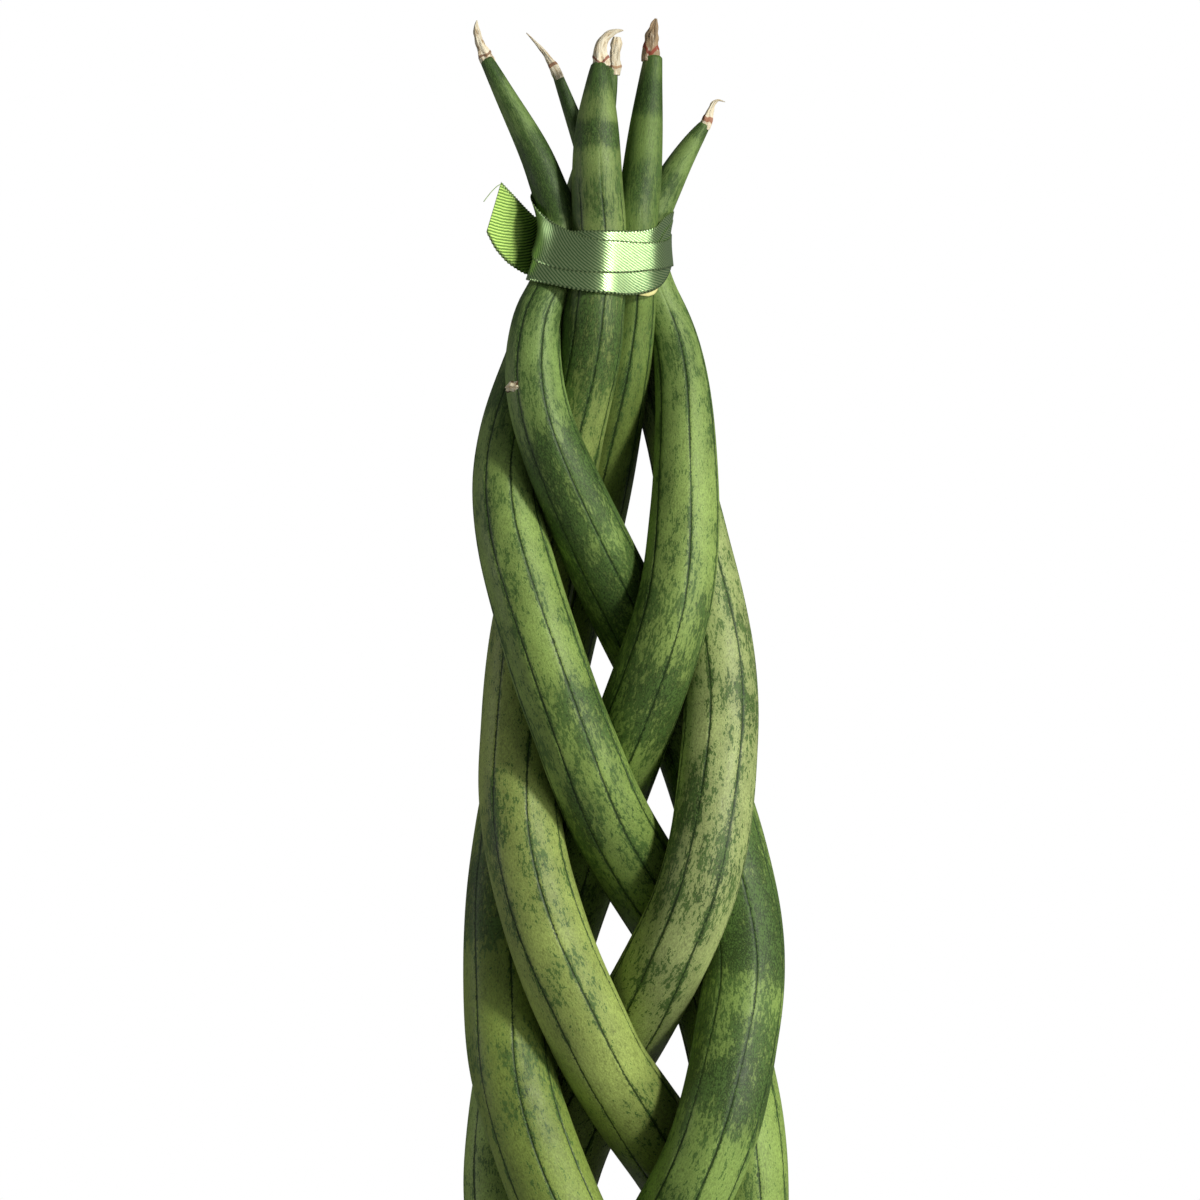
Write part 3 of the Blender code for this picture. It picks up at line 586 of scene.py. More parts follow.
def leaf_finish(name):
    """Base green, then the frayed bands (partly painted shade) and the specks in two dark greens, then the
    furrows.
    """
    low, tip, specks = SKINS[name]
    skin = Finish(name + "_skin", Roughness=0.5, Specular_IOR_Level=0.3)
    straight = skin.attribute("straight", "Vector")
    height = skin.part(skin.place(), "Z")
    band, furrow = skin.attribute("band"), skin.attribute("furrow")
    young = skin.ramp(height, OLD_HEIGHT, YOUNG_HEIGHT)
    cloud = skin.noise(skin.stretched(straight, 1, 1, 0.6), CLOUDS, 3) - 0.5
    patch = skin.noise(skin.stretched(straight, 1, 1, 0.55), PATCHES, 6, 0.7) - 0.5
    dash = skin.noise(skin.stretched(straight, 1, 1, 0.42), DASHES, 4, 0.7) - 0.5
    grain = skin.noise(skin.stretched(straight, 1, 1, 0.7), GRAINS, 3, 0.65) - 0.5
    near = skin.ramp(furrow, 0.1, 1.5, 1.0, 0.0)
    base = skin.mix(young, colour(*low), colour(*tip))
    base = skin.mix(skin.ramp(cloud + 0.5 * patch, -0.12, 0.15), base, skin.shade(base, 0.8))
    base = skin.shade(base, 1.0 + 1.0 * patch + 1.3 * dash + 1.6 * grain)
    # The band darkness is partly the leaf's own markings and partly painted shade
    band_and_shade_mask = skin.ramp(band + 2.6 * patch + 2.8 * dash + 1.2 * cloud + 1.8 * grain, 0.32, 0.78)
    crowd = dash + 0.8 * patch + 0.6 * grain + 0.7 * cloud + 0.12 * near + 0.08 * band
    specked = skin.ramp(crowd, 0.14 - 0.11 * specks, 0.19 - 0.11 * specks)
    dark = skin.maths("MAXIMUM", 0.9 * band_and_shade_mask, 0.92 * specked)
    deep, mild = [colour(*green) for green in DARK_GREENS]
    deep_green = skin.mix(skin.ramp(patch + 1.4 * grain + 0.6 * dash, -0.12, 0.2), deep, mild)
    base = skin.mix(dark, base, deep_green)
    line = skin.ramp(furrow + 1.1 * dash + 0.9 * grain, 0.16, 0.34, 0.9, 0.0)
    base = skin.mix(line, base, colour(*FURROW_GREEN))
    relief = 0.5 * grain + 0.5 * patch + 0.3 * dash
    relief = skin.bump(relief, 0.2 * MM, 0.7)
    return skin.wear(Base_Color=base, Roughness=0.5 + 0.5 * patch, Normal=relief)


GROWN = {name: leaf_surface(name, leaf_finish(name)) for name in LEAVES}

# %% [markdown]
# ## Dry points
#
# Every cylindrical leaf ends in a hard point that dries out: papery, cream to tan, shrivelled,
# with a red-brown rim where it meets the green. Each one here has its own route and widths, read
# from the picture. The outline is a flattened circle whose wrinkles run along the point.

# %% Dry points
DRY_RINGS, DRY_AROUND = 46, 40
# How deep a point is for its width at its end, its least width, and the radius of the straight
# point that its marks lie on
DRY_FLATNESS, DRY_LEAST, DRY_RADIUS = 0.72, 0.1 * MM, 1.5 * MM
# How many creases, and how deep, then the depth and size of two kinds of lump, all as shares
CREASES, CREASE_DEPTH = 5, 0.09
LUMPS = ((0.13, 0.8), (0.08, 0.35))
# For each leaf: (height, across, width) from the green end up, in mm
DRY_ROUTES = {
    "leaf_1": [(588.2, -33.8, 3.2), (589.6, -34.5, 3.3), (590.8, -35.1, 3.0), (592.4, -35.8, 2.5),
               (594.4, -36.6, 2.1), (596.4, -37.1, 1.6), (597.8, -37.3, 1.0), (599.3, -37.0, 0.2)],
    "leaf_2": [(585.8, -2.6, 2.6), (587.2, -2.6, 2.8), (589.0, -2.5, 2.5), (591.5, -2.4, 2.6),
               (593.8, -2.2, 2.6), (595.4, -2.0, 1.6)],
    "leaf_3": [(587.4, -6.0, 4.2), (588.8, -6.0, 4.3), (590.4, -6.1, 3.6), (592.0, -6.2, 2.9),
               (593.8, -5.6, 2.3), (595.0, -4.6, 1.8), (595.8, -3.2, 1.3), (596.2, -1.7, 0.8),
               (596.3, -0.4, 0.2)],
    "leaf_4": [(588.8, 6.2, 4.4), (590.2, 6.3, 4.5), (591.4, 6.4, 3.8), (593.0, 6.6, 3.4),
               (595.5, 6.9, 3.0), (597.8, 7.2, 2.0), (599.6, 7.7, 0.5)],
    "leaf_5": [(573.0, 19.8, 2.6), (574.6, 20.5, 2.7), (576.2, 21.1, 2.1), (577.8, 21.6, 1.5),
               (579.4, 22.2, 1.0), (580.3, 23.4, 0.4), (579.7, 25.2, 0.15)],
    "leaf_6": [(585.6, -16.4, 2.4), (587.2, -17.2, 2.6), (588.8, -18.0, 2.4), (590.3, -18.9, 1.6),
               (592.5, -20.5, 1.1), (594.8, -22.5, 0.7), (597.2, -24.8, 0.15)],
}
# The rim's place, width and droop as shares of the point's length, the rim's colour, and how
# brown the point is from 0 to 1
DRY_LOOKS = {
    "leaf_1": (0.2, 0.025, 0.04, (128, 84, 52), 0.4), "leaf_2": (0.2, 0.03, 0.03, (196, 150, 112), 0.0),
    "leaf_3": (0.05, 0.025, 0.13, (146, 58, 36), 0.25), "leaf_4": (0.16, 0.05, 0.2, (146, 54, 38), 0.95),
    "leaf_5": (0.22, 0.06, 0.05, (168, 96, 68), 0.15), "leaf_6": (0.26, 0.03, 0.03, (140, 84, 48), 0.3),
}


def dry_finish(name, rim_colour, brownness):
    """Paper in two creams, streaked along the point, with brown patches and a coloured rim."""
    husk = Finish(name + "_husk", Roughness=0.75, Specular_IOR_Level=0.3)
    straight = husk.attribute("straight", "Vector")
    streak = husk.noise(husk.stretched(straight, 1, 1, 0.15), 2600, 4, 0.65)
    patch = husk.noise(husk.stretched(straight, 1, 1, 0.6), 650, 4, 0.6)
    paper = husk.mix(husk.ramp(streak, 0.36, 0.66), colour(255, 246, 222), colour(232, 210, 172))
    brown = husk.ramp(patch + 0.5 * streak, 0.92 - 0.4 * brownness, 1.06 - 0.4 * brownness)
    paper = husk.mix(0.85 * brown, paper, husk.mix(streak, colour(112, 84, 58), colour(176, 144, 104)))
    rim = husk.ramp(husk.attribute("rim") + 0.9 * (patch - 0.5), 0.35, 0.7)
    paper = husk.mix(0.85 * rim, paper, colour(*rim_colour))
    return husk.wear(Base_Color=paper, Normal=husk.bump(streak + 0.5 * patch, 0.3 * MM, 0.8))


def dry_point(name):
    """A shrivelled point: a flattened circle with sine wrinkles, along an eased route."""
    rim_place, rim_width, droop, rim_colour, brownness = DRY_LOOKS[name]
    height, aside, width = (np.array(DRY_ROUTES[name]) * MM).T
    path = joined(aside, LINES[name][0][-1, 1], height)
    length = along(path)
    stations = np.linspace(0, length[-1], DRY_RINGS)
    route = eased(at(stations, length, np.column_stack([path, width])), 2.0)
    centres, widths = route[:, :3], np.maximum(route[:, 3], DRY_LEAST)
    back = np.array([[0.0, 1.0, 0.0]])
    side = unit(np.cross(back, unit(np.gradient(centres, axis=0))))
    angle = all_round(DRY_AROUND)
    share = stations[:, None] / length[-1]
    seed = 20 + LEAVES.index(name)
    places = joined(np.cos(angle), np.sin(angle), 1.5 * share)
    creases = CREASE_DEPTH * np.sin(CREASES * angle + 4 * share + seed)
    creases = creases * (0.6 + 0.4 * ripple(places, 1.2, seed + 2))
    lumps = sum(depth * ripple(places, size, seed + order) for order, (depth, size) in enumerate(LUMPS))
    wrinkle = 1 + (0.25 + share**0.5) * (creases + lumps)
    rim_line = rim_place + droop * np.abs(np.cos(angle)) + 0.015 * np.sin(3 * angle + seed)
    rim = np.exp(-0.5 * ((share - rim_line) / rim_width) ** 2)
    across = widths[:, None] / 2 * (wrinkle + 0.08 * rim)
    flat = 1 - (1 - DRY_FLATNESS) * share**0.5
    points = swept(centres, side, back, across * np.cos(angle), across * flat * np.sin(angle))
    straight = joined(DRY_RADIUS * np.cos(angle), DRY_RADIUS * np.sin(angle), stations[:, None])
    finish = dry_finish(name, rim_colour, brownness)
    made = surface("dry_point_" + name[-1], points, finish, values={"straight": straight, "rim": rim})
    return made


for name in LEAVES:
    dry_point(name)

# %% [markdown]
# ## The gathered leaves
#
# Whatever is tied round the leaves lies on the outline that a tight string would take. Seen along
# a bearing t, a leaf reaches its centre's distance that way plus its radius. The furthest leaf
# wins, and that is the support s(t). The string's distance from the middle along a bearing b is
# the least s(t) / cos(b - t) of all bearings t.

# %% The tight outline round the leaves
TIE_LINE = np.array([-5.8, -0.5]) * MM
BEARINGS = all_round(90)
# Bearings whose cosine is less than this are too far aside to hold the string
LEAST_COSINE = 0.08


def tight_reach(bearings, heights):
    """Distance from the tie's middle to a tight string, for arrays of bearings and heights."""
    support = []
    for line, radii in TIED.values():
        centre = at(heights, line[:, 2], line[:, :2]) - TIE_LINE
        lean = at(heights, line[:, 2], 1 / unit(np.gradient(line, axis=0))[:, 2])
        radius = at(heights, line[:, 2], radii) * lean
        middle_reach = centre[..., :1] * np.cos(BEARINGS) + centre[..., 1:] * np.sin(BEARINGS)
        support.append(middle_reach + radius[..., None])
    cosine = np.cos(bearings[..., None] - BEARINGS)
    reach = np.max(support, axis=0) / np.maximum(cosine, LEAST_COSINE)
    return np.where(cosine > LEAST_COSINE, reach, np.inf).min(axis=-1)


def round_tie(bearings, reach, heights):
    """Points at a distance from the tie's middle line."""
    return joined(TIE_LINE[0] + reach * np.cos(bearings), TIE_LINE[1] + reach * np.sin(bearings), heights)


front = tight_reach(np.array([-math.pi / 2, 0.0, math.pi]), np.full(3, TIE_HEIGHT))
print("leaves reach from the tie's middle: front, right, left", np.round(front / MM, 1), "mm")

# %% [markdown]
# ## The satin ribbon
#
# The ribbon is one strip, a fifth of a millimetre thick, wound nearly three times and left with a
# loose end. Its route is a table of heights and widths against turns round the plant. Whole
# turns face the viewer, and the strip climbs at the back. Each new turn lies a little further out.
# A strip has two faces and two corded edges, so its outline is a thin closed loop, swept along.

# %% Ribbon shape
# Turn, then height of the middle and width of the strip in mm
RIBBON_ROUTE = np.array([
    (0.9, 540.8, 10.0), (1.0, 540.8, 10.0), (1.1, 540.9, 10.0), (1.16, 541.5, 10.0), (1.2, 542.4, 10.0),
    (1.24, 544.8, 10.0), (1.28, 546.6, 10.0), (1.34, 547.6, 10.0), (1.5, 548.0, 10.0), (1.65, 544.5, 10.0),
    (1.75, 540.2, 10.0), (1.82, 539.0, 10.0), (1.88, 537.8, 10.0), (1.94, 536.0, 10.0), (2.0, 535.1, 10.0),
    (2.09, 534.8, 10.0), (2.13, 535.3, 10.0), (2.18, 536.8, 10.0), (2.22, 538.8, 10.0), (2.26, 541.4, 10.0),
    (2.31, 544.4, 10.0), (2.4, 548.0, 10.0), (2.55, 552.4, 10.0), (2.68, 553.6, 10.0), (2.73, 552.6, 10.0),
    (2.77, 549.9, 10.0), (2.8, 546.7, 10.0), (2.83, 543.9, 10.0), (2.87, 541.9, 10.0), (2.91, 540.6, 9.6),
    (2.97, 539.3, 8.5), (3.06, 539.2, 8.0), (3.15, 539.6, 6.9), (3.25, 541.0, 6.7), (3.32, 542.4, 7.4),
    (3.4, 545.0, 8.8), (3.5, 546.2, 9.8), (3.6, 544.6, 10.4), (3.66, 543.6, 11.0),
])
# About how far the turns are from their middle, which gives the lean of a climbing strip
RIBBON_RADIUS = 15 * MM
# How far the strip starts from the leaves, and how much further out it is after each turn
RIBBON_CLEAR, RIBBON_PER_TURN = 0.2 * MM, 0.4 * MM
# The last turn stands off a little at the right side: how far, at which turn, over how much of one
RIBBON_LIFT, RIBBON_LIFT_TURN, RIBBON_LIFT_SPREAD = 0.35 * MM, 3.24, 0.09
# Each edge keeps clear of the leaves this far above and below itself
RIBBON_PROBE = 1.5 * MM
RIBBON_THICKNESS, CORD_THICKNESS, CORD_PITCH = 0.16 * MM, 0.32 * MM, 0.95 * MM
# The cord's share of half the width, and the scallop that it gives the edge
CORD_SHARE, CORD_SCALLOP = 0.06, 0.03
# The strip is a little cupped and uneven
RIBBON_CUP, RIBBON_WAVE, RIBBON_WAVE_LENGTH = 0.05 * MM, 0.04 * MM, 14 * MM
RIBBON_ACROSS = 15
# The route is read off at rough steps and eased over 0.8 mm, then swept in fine ones
RIBBON_ROUGH_STEP, RIBBON_EASE, RIBBON_STEP = 0.5 * MM, 0.8 * MM, 0.18 * MM
# The loose end's upper and lower edges: across, away from the viewer, height in mm
TAIL_UPPER = [(-22.6, 1.5, 550.4), (-25.2, -0.8, 552.9), (-28.0, -3.2, 555.8), (-30.8, -5.0, 558.6)]
TAIL_LOWER = [(-23.6, 0.2, 535.4), (-26.3, -1.6, 536.6), (-29.5, -3.6, 538.6), (-32.4, -5.0, 541.8),
              (-34.5, -6.0, 546.0)]


def ribbon_frame():
    """Middle points and half-width vectors along the wound part.

    The two edges and the middle are each laid on the tight outline. A climbing strip leans, so
    its edges are a little before and behind its middle.
    """
    turns, heights, widths = RIBBON_ROUTE.T
    fine = np.linspace(turns[0], turns[-1], 700)
    height, width = eased(at(fine, turns, heights), 6) * MM, eased(at(fine, turns, widths), 6) * MM
    bearing = 2 * math.pi * fine - math.pi / 2
    lift = RIBBON_LIFT * np.exp(-(((fine - RIBBON_LIFT_TURN) / RIBBON_LIFT_SPREAD) ** 2))
    out = RIBBON_CLEAR + RIBBON_PER_TURN * (fine - fine[0]) + lift
    lean = np.arctan(np.gradient(height, fine) / (2 * math.pi * RIBBON_RADIUS))
    edges = []
    for way in (-0.5, 0.0, 0.5):
        place = bearing - way * width * np.sin(lean) / RIBBON_RADIUS
        level = height + way * width * np.cos(lean)
        below, above = [tight_reach(place, level + probe) for probe in (-RIBBON_PROBE, RIBBON_PROBE)]
        edges.append(round_tie(place, eased(np.maximum(below, above), 5) + out, level))
    low, middle, high = edges
    return (low + high + 2 * middle) / 4, (high - low) / 2


def tail_frame(middle, half):
    """Middle points and half-width vectors of the loose end, which starts at the last turn."""
    edges = []
    for known, way in ((TAIL_UPPER, 1), (TAIL_LOWER, -1)):
        knots = np.vstack([middle[-1] + way * half[-1], np.array(known) * MM])
        length = along(knots)
        edges.append(at(np.linspace(0, length[-1], 90)[1:], length, knots))
    upper, lower = edges
    return (upper + lower) / 2, (upper - lower) / 2


def ribbon_surface(finish):
    """The strip: middle + w (half width) + t (outward), over a thin closed outline (w, t)."""
    wound = np.hstack(ribbon_frame())
    line = np.vstack([wound, np.hstack(tail_frame(wound[:, :3], wound[:, 3:]))])
    length = along(line[:, :3])
    rough = np.linspace(0, length[-1], int(length[-1] / RIBBON_ROUGH_STEP))
    line = eased(at(rough, length, line), RIBBON_EASE / RIBBON_ROUGH_STEP)
    stations = np.linspace(0, length[-1], int(length[-1] / RIBBON_STEP))
    line = at(stations, rough, line)
    middle, half = line[:, :3], line[:, 3:]
    out = unit(np.cross(np.gradient(middle, axis=0), half))
    share = np.linspace(-1, 1, RIBBON_ACROSS)
    outline = np.concatenate([share, share[::-1]])
    sign = np.repeat([1.0, -1.0], RIBBON_ACROSS)
    corded = np.exp(-((1 - np.abs(outline)) / CORD_SHARE) ** 2)
    twist = 0.5 * np.sin(2 * math.pi * stations / CORD_PITCH)[:, None] * corded
    thick = RIBBON_THICKNESS + (CORD_THICKNESS - RIBBON_THICKNESS) * corded * (1 + twist)
    # The two faces come near each other at the very edge
    thick = thick * np.where(np.abs(outline) > 0.999, 0.35, 1.0)
    wave = ripple(joined(stations[:, None], outline * 3 * MM), RIBBON_WAVE_LENGTH, 5)
    cup = RIBBON_CUP * outline**2 + RIBBON_WAVE * wave
    points = swept(middle, half, out, outline * (1 + CORD_SCALLOP * twist), sign * thick / 2 + cup)
    width = np.linalg.norm(half, axis=1)[:, None]
    laid = joined(outline * width, stations[:, None], 0.0)
    values = {
        "laid": laid,
        "inner": np.broadcast_to((sign < 0).astype(float), laid.shape[:2]),
        "cord": np.broadcast_to(corded, laid.shape[:2]),
    }
    made = surface("satin_ribbon", points, finish, values=values)
    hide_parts("ribbon")
    return made, length[-1]


print("ribbon wound from turn", RIBBON_ROUTE[0, 0], "to turn", RIBBON_ROUTE[-1, 0])

# %% [markdown]
# ## The ribbon's weave
#
# Satin shines because its threads lie side by side on the face, in slanting lines under a
# millimetre apart. The finish measures a point's distance square to those lines and takes a sine
# of it as the height. The same sine also turns the colour paler and darker across each rib, a
# painted glint on the threads and painted shade between them. The face is pale and glossy, the
# back is duller with deeper ribs.

# %% Ribbon finish
TWILL_ANGLE = math.radians(32)
TWILL_PITCH, TWILL_SWAY = 0.64 * MM, 0.3 * MM


def ribbon_finish():
    """Slanting ribs on both faces, paler and darker across each rib as painted glint and shade, and beads
    along the edges, pale on top with painted shade between them.
    """
    satin = Finish("green_satin", Metallic=0.8, Specular_IOR_Level=0.7)
    laid = satin.attribute("laid", "Vector")
    across, down = satin.part(laid, "X"), satin.part(laid, "Y")
    wobble = satin.noise(laid, 700, 2)
    fleck = satin.noise(satin.stretched(laid, 1, 0.5, 1), 3000, 2)
    lines = across * math.cos(TWILL_ANGLE) + down * math.sin(TWILL_ANGLE)
    lines = lines + TWILL_SWAY * (wobble - 0.5)
    rib = 0.5 + 0.5 * satin.maths("SINE", lines * (2 * math.pi / TWILL_PITCH))
    inner, cord = satin.attribute("inner"), satin.attribute("cord")
    # Across each rib the face and the back turn paler and darker: painted glint and painted shade
    face = satin.mix(rib, colour(104, 148, 94), colour(196, 216, 158))
    face = satin.shade(face, 0.8 + 0.4 * fleck)
    back = satin.mix(satin.ramp(rib, 0.1, 0.7), colour(100, 138, 60), colour(186, 216, 116))
    cloth = satin.mix(inner, face, back)
    # The corded edge's beads are pale on top and dark between: painted highlight and painted shade
    bead_light_and_shade = satin.maths("SINE", down * (2 * math.pi / CORD_PITCH)) + 2 * (fleck - 0.5)
    edge = satin.mix(satin.ramp(bead_light_and_shade, -0.4, 0.5), colour(48, 84, 44), colour(190, 214, 150))
    cloth = satin.mix(0.85 * cord, cloth, edge)
    relief = rib * (0.6 + 0.4 * inner) + 0.5 * fleck
    return satin.wear(Base_Color=cloth, Roughness=0.28 + 0.25 * inner + 0.12 * fleck,
                      Normal=satin.bump(relief, 0.06 * MM, 0.7))


ribbon, ribbon_length = ribbon_surface(ribbon_finish())
print("ribbon length", round(ribbon_length / MM), "mm")

# %% [markdown]
# ## The loose thread and the elastic band
#
# One thread has frayed from the ribbon's cut corner, and a thin rubber band, which held the
# leaves before the ribbon was tied, shows as a pale crescent under it. Both are round tubes along
# a line: the thread's points are given one by one, and the band lies on the tight outline and is
# lowest at the right.

# %% Thread and band
# Across, away from the viewer, height in mm
THREAD_ROUTE = np.array([
    (-30.9, -5.1, 558.0), (-31.8, -5.4, 557.6), (-33.4, -5.6, 556.0), (-35.2, -5.7, 553.6),
])
THREAD_RADIUS = 0.11 * MM
# The band's half thickness and half height, and how far its middle is from the leaves
BAND_HALF = (0.24 * MM, 0.62 * MM)
BAND_OUT = 0.5 * MM
# Turn, with whole turns facing the viewer, and height in mm
BAND_ROUTE = np.array([
    (0.0, 533.5), (0.05, 532.4), (0.1, 531.2), (0.13, 530.6), (0.16, 530.5), (0.18, 531.0), (0.2, 532.8),
    (0.215, 535.6), (0.23, 538.0), (0.26, 539.0), (0.5, 539.0), (0.75, 537.5), (0.9, 535.6), (1.0, 533.5),
])


def tube(name, centres, halves, finish, closed=False, around=10):
    """A tube: centre + (across cos a side + up sin a), side being level and square to the line."""
    step = np.gradient(centres, axis=0)
    if closed:
        step = np.roll(centres, -1, axis=0) - np.roll(centres, 1, axis=0)
    forward = unit(step)
    side = unit(np.cross(forward, (0.0, 0.0, 1.0)))
    up = np.cross(side, forward)
    angle = all_round(around)[None]
    points = swept(centres, side, up, halves[0] * np.cos(angle), halves[1] * np.sin(angle))
    return surface(name, points, finish, round_rows=closed)


def plain_finish(name, main, other, per_metre, roughness, depth):
    """Two near colours in clouds, with a matching small bump."""
    plain = Finish(name, Roughness=roughness)
    cloud = plain.noise(plain.place(), per_metre, 4)
    base = plain.mix(cloud, colour(*main), colour(*other))
    return plain.wear(Base_Color=base, Normal=plain.bump(cloud, depth))


share = np.linspace(0, 1, len(THREAD_ROUTE))
thread_line = eased(at(np.linspace(0, 1, 40), share, THREAD_ROUTE * MM), 4)
thread_finish = plain_finish("loose_thread_green", (150, 186, 96), (190, 214, 140), 3000, 0.6, 0.02 * MM)
thread = tube("loose_thread", thread_line, (THREAD_RADIUS, THREAD_RADIUS), thread_finish)

turn = np.linspace(0, 1, 180, endpoint=False)
bearing = 2 * math.pi * turn - math.pi / 2
level = at(turn, BAND_ROUTE[:, 0], BAND_ROUTE[:, 1]) * MM
band_line = round_tie(bearing, tight_reach(bearing, level) + BAND_OUT, level)
band_finish = plain_finish("pale_elastic", (244, 240, 170), (226, 214, 140), 900, 0.45, 0.02 * MM)
band = tube("elastic_band_round", band_line, BAND_HALF, band_finish, closed=True, around=14)
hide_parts("elastic_band")

# %% [markdown]
# ## The scar
#
# A leaf of this kind heals a wound with a corky scab. It is a small lumpy patch, thickest in the
# middle, that lies on the leaf, so it is a grid over a disc: the distance from its middle sets how
# far each point stands out of the leaf, and noise makes it lumpy and its outline ragged.

# %% Scar
SCAR_PLACE = (-28.0 * MM, 507.0 * MM)
SCAR_SIZE = (1.9 * MM, 1.3 * MM)
SCAR_RISE = 0.8 * MM
# The rim lies this far in the skin, and the underside is this share as far from the leaf's middle
SCAR_SUNK, SCAR_UNDER = 0.1 * MM, 0.93
# Up to this share of the leaf's radius, a point keeps its place as seen from the front
SCAR_LIMIT = 0.985


def scar_surface(finish):
    """Rows are rings from the middle to the rim, laid on the leaf's round skin.

    A point seen x to the side is at the angle whose sine is x / radius. Past the limit, x /
    radius itself is the angle, which tucks the last points under the scab.
    """
    line, radii = TIED["leaf_1"]
    centre = at(SCAR_PLACE[1:], line[:, 2], line)[0]
    radius = at(SCAR_PLACE[1:], line[:, 2], radii)[0]
    out = np.linspace(0.02, 1, 16)[:, None]
    angle = all_round(48)
    ring = joined(out * np.cos(angle), out * np.sin(angle))
    ragged = 1 + 0.16 * ripple(ring, 0.9, 31) * out
    across = SCAR_PLACE[0] - centre[0] + SCAR_SIZE[0] * ragged * ring[..., 0]
    up = SCAR_SIZE[1] * ragged * ring[..., 1] + 0.25 * SCAR_SIZE[1] * ring[..., 0]
    reach = radius + SCAR_RISE * (1 - out**2) * (0.75 + 0.3 * ripple(ring, 0.6, 32)) - SCAR_SUNK
    share = across / radius
    laid = np.arcsin(np.clip(share, -SCAR_LIMIT, SCAR_LIMIT))
    laid = np.where(np.abs(share) < SCAR_LIMIT, laid, share)
    points = joined(centre[0] + reach * np.sin(laid), centre[1] - reach * np.cos(laid), centre[2] + up)
    inner = points[::-1].copy()
    inner[..., :2] = centre[:2] + (inner[..., :2] - centre[:2]) * SCAR_UNDER
    rim = np.broadcast_to(np.concatenate([out, out[::-1]]), (2 * len(out), len(angle)))
    made = surface("scar", np.concatenate([points, inner]), finish, values={"rim": rim})
    return made


def scar_finish():
    """Pale lumpy cork, brown at its rim."""
    cork = Finish("corky_scar", Roughness=0.85)
    lump = cork.noise(cork.place(), 1800, 4, 0.6)
    tan = cork.mix(cork.ramp(lump, 0.35, 0.65), colour(255, 250, 222), colour(240, 214, 166))
    brown = cork.ramp(cork.attribute("rim") + 0.8 * (lump - 0.5), 0.72, 0.95)
    base = cork.mix(brown, tan, colour(92, 66, 36))
    return cork.wear(Base_Color=base, Normal=cork.bump(lump, 0.15 * MM))


scar_surface(scar_finish())

# %% [markdown]
# ## The pot
#
# A clay pot is a turned shape: one closed section, carried once round the axis. The section has
# only the corners that the frame's pot has, and each corner is rounded by a short arc. The clay is
# matt, with darker and paler clouds, fine grit and faint rings from the mould.

# %% Pot
# Height, radius at the lip and radius at the foot, in mm like everything about pot and soil
POT_TOP, POT_LIP, POT_FOOT = 130.0, 76.0, 54.0
POT_WALL, POT_FLOOR, POT_RECESS, POT_DRAIN = 4.5, 8.0, 2.0, 8.0
POT_RIM_DEPTH, POT_RIM_STEP = 26.0, 3.0
POT_ROUNDING, ARC_POINTS = 1.6, 6
# The furthest that two points of the section are apart, and how many carry it round the axis
RUNG, POT_AROUND = 3.0, 180


def pot_wall(height):
    """The plain wall's outer radius at a height: a straight taper."""
    return POT_FOOT + (POT_LIP - POT_RIM_STEP - POT_FOOT) * height / POT_TOP


def rounded(corners, size):
    """A closed outline whose corners are cut short by curves.

    A corner becomes the curve (1-t)(1-t) a + 2t(1-t) corner + t t b, between the points a and b
    that lie a short way before and after it.
    """
    corners = np.array(corners, float)
    before, after = np.roll(corners, 1, axis=0), np.roll(corners, -1, axis=0)
    curve_ends = []
    for other in (before, after):
        reach = np.minimum(size, 0.45 * np.linalg.norm(other - corners, axis=1))
        curve_ends.append(corners + unit(other - corners) * reach[:, None])
    a, b = curve_ends
    t = np.linspace(0, 1, ARC_POINTS)[None, :, None]
    curve = (1 - t) ** 2 * a[:, None] + 2 * t * (1 - t) * corners[:, None] + t**2 * b[:, None]
    return curve.reshape(-1, 2)


def divided(outline, step):
    """A closed outline with extra points, so that none is further than a step from the next."""
    ends = np.vstack([outline, outline[:1]])
    length = along(ends)
    extra = np.arange(0, length[-1], step)
    stations = np.unique(np.round(np.concatenate([length[:-1], extra]), 6))
    return at(stations, length, ends)


def pot_relief(places):
    """Faint rings from the mould and a slightly uneven wall, all a little inside the frame's pot."""
    return 0.06 * ripple(places[..., 2:], 6.0, 41) + 0.05 * ripple(places, 40.0, 42) - 0.12


def turned(name, section, finish, relief):
    """A closed section (radius, height) in mm carried round the axis, with a small relief added."""
    angle = all_round(POT_AROUND)
    radius, height = section[:, :1], section[:, 1:]
    grown = radius + relief(joined(radius * np.cos(angle), radius * np.sin(angle), height))
    points = joined(grown * np.cos(angle), grown * np.sin(angle), height)
    return surface(name, points * MM, finish, round_rows=True)


def pot_finish():
    """Red clay in two tones, gritty and ringed, with a little white chalk."""
    clay = Finish("red_clay", Roughness=0.86, Specular_IOR_Level=0.25)
    place = clay.place()
    cloud = clay.noise(place, 22, 4)
    grit = clay.noise(place, 900, 4, 0.7)
    rings = clay.noise(clay.stretched(place, 0.2, 0.2, 1), 500, 2)
    base = clay.mix(clay.ramp(cloud, 0.3, 0.7), colour(190, 118, 84), colour(168, 98, 68))
    base = clay.shade(base, 0.86 + 0.2 * grit + 0.08 * rings)
    chalk = clay.ramp(clay.noise(place, 60, 5, 0.7) + 0.2 * grit, 0.68, 0.86)
    base = clay.mix(0.35 * chalk, base, colour(222, 200, 180))
    return clay.wear(Base_Color=base, Normal=clay.bump(0.7 * grit + 0.5 * rings, 0.25 * MM))


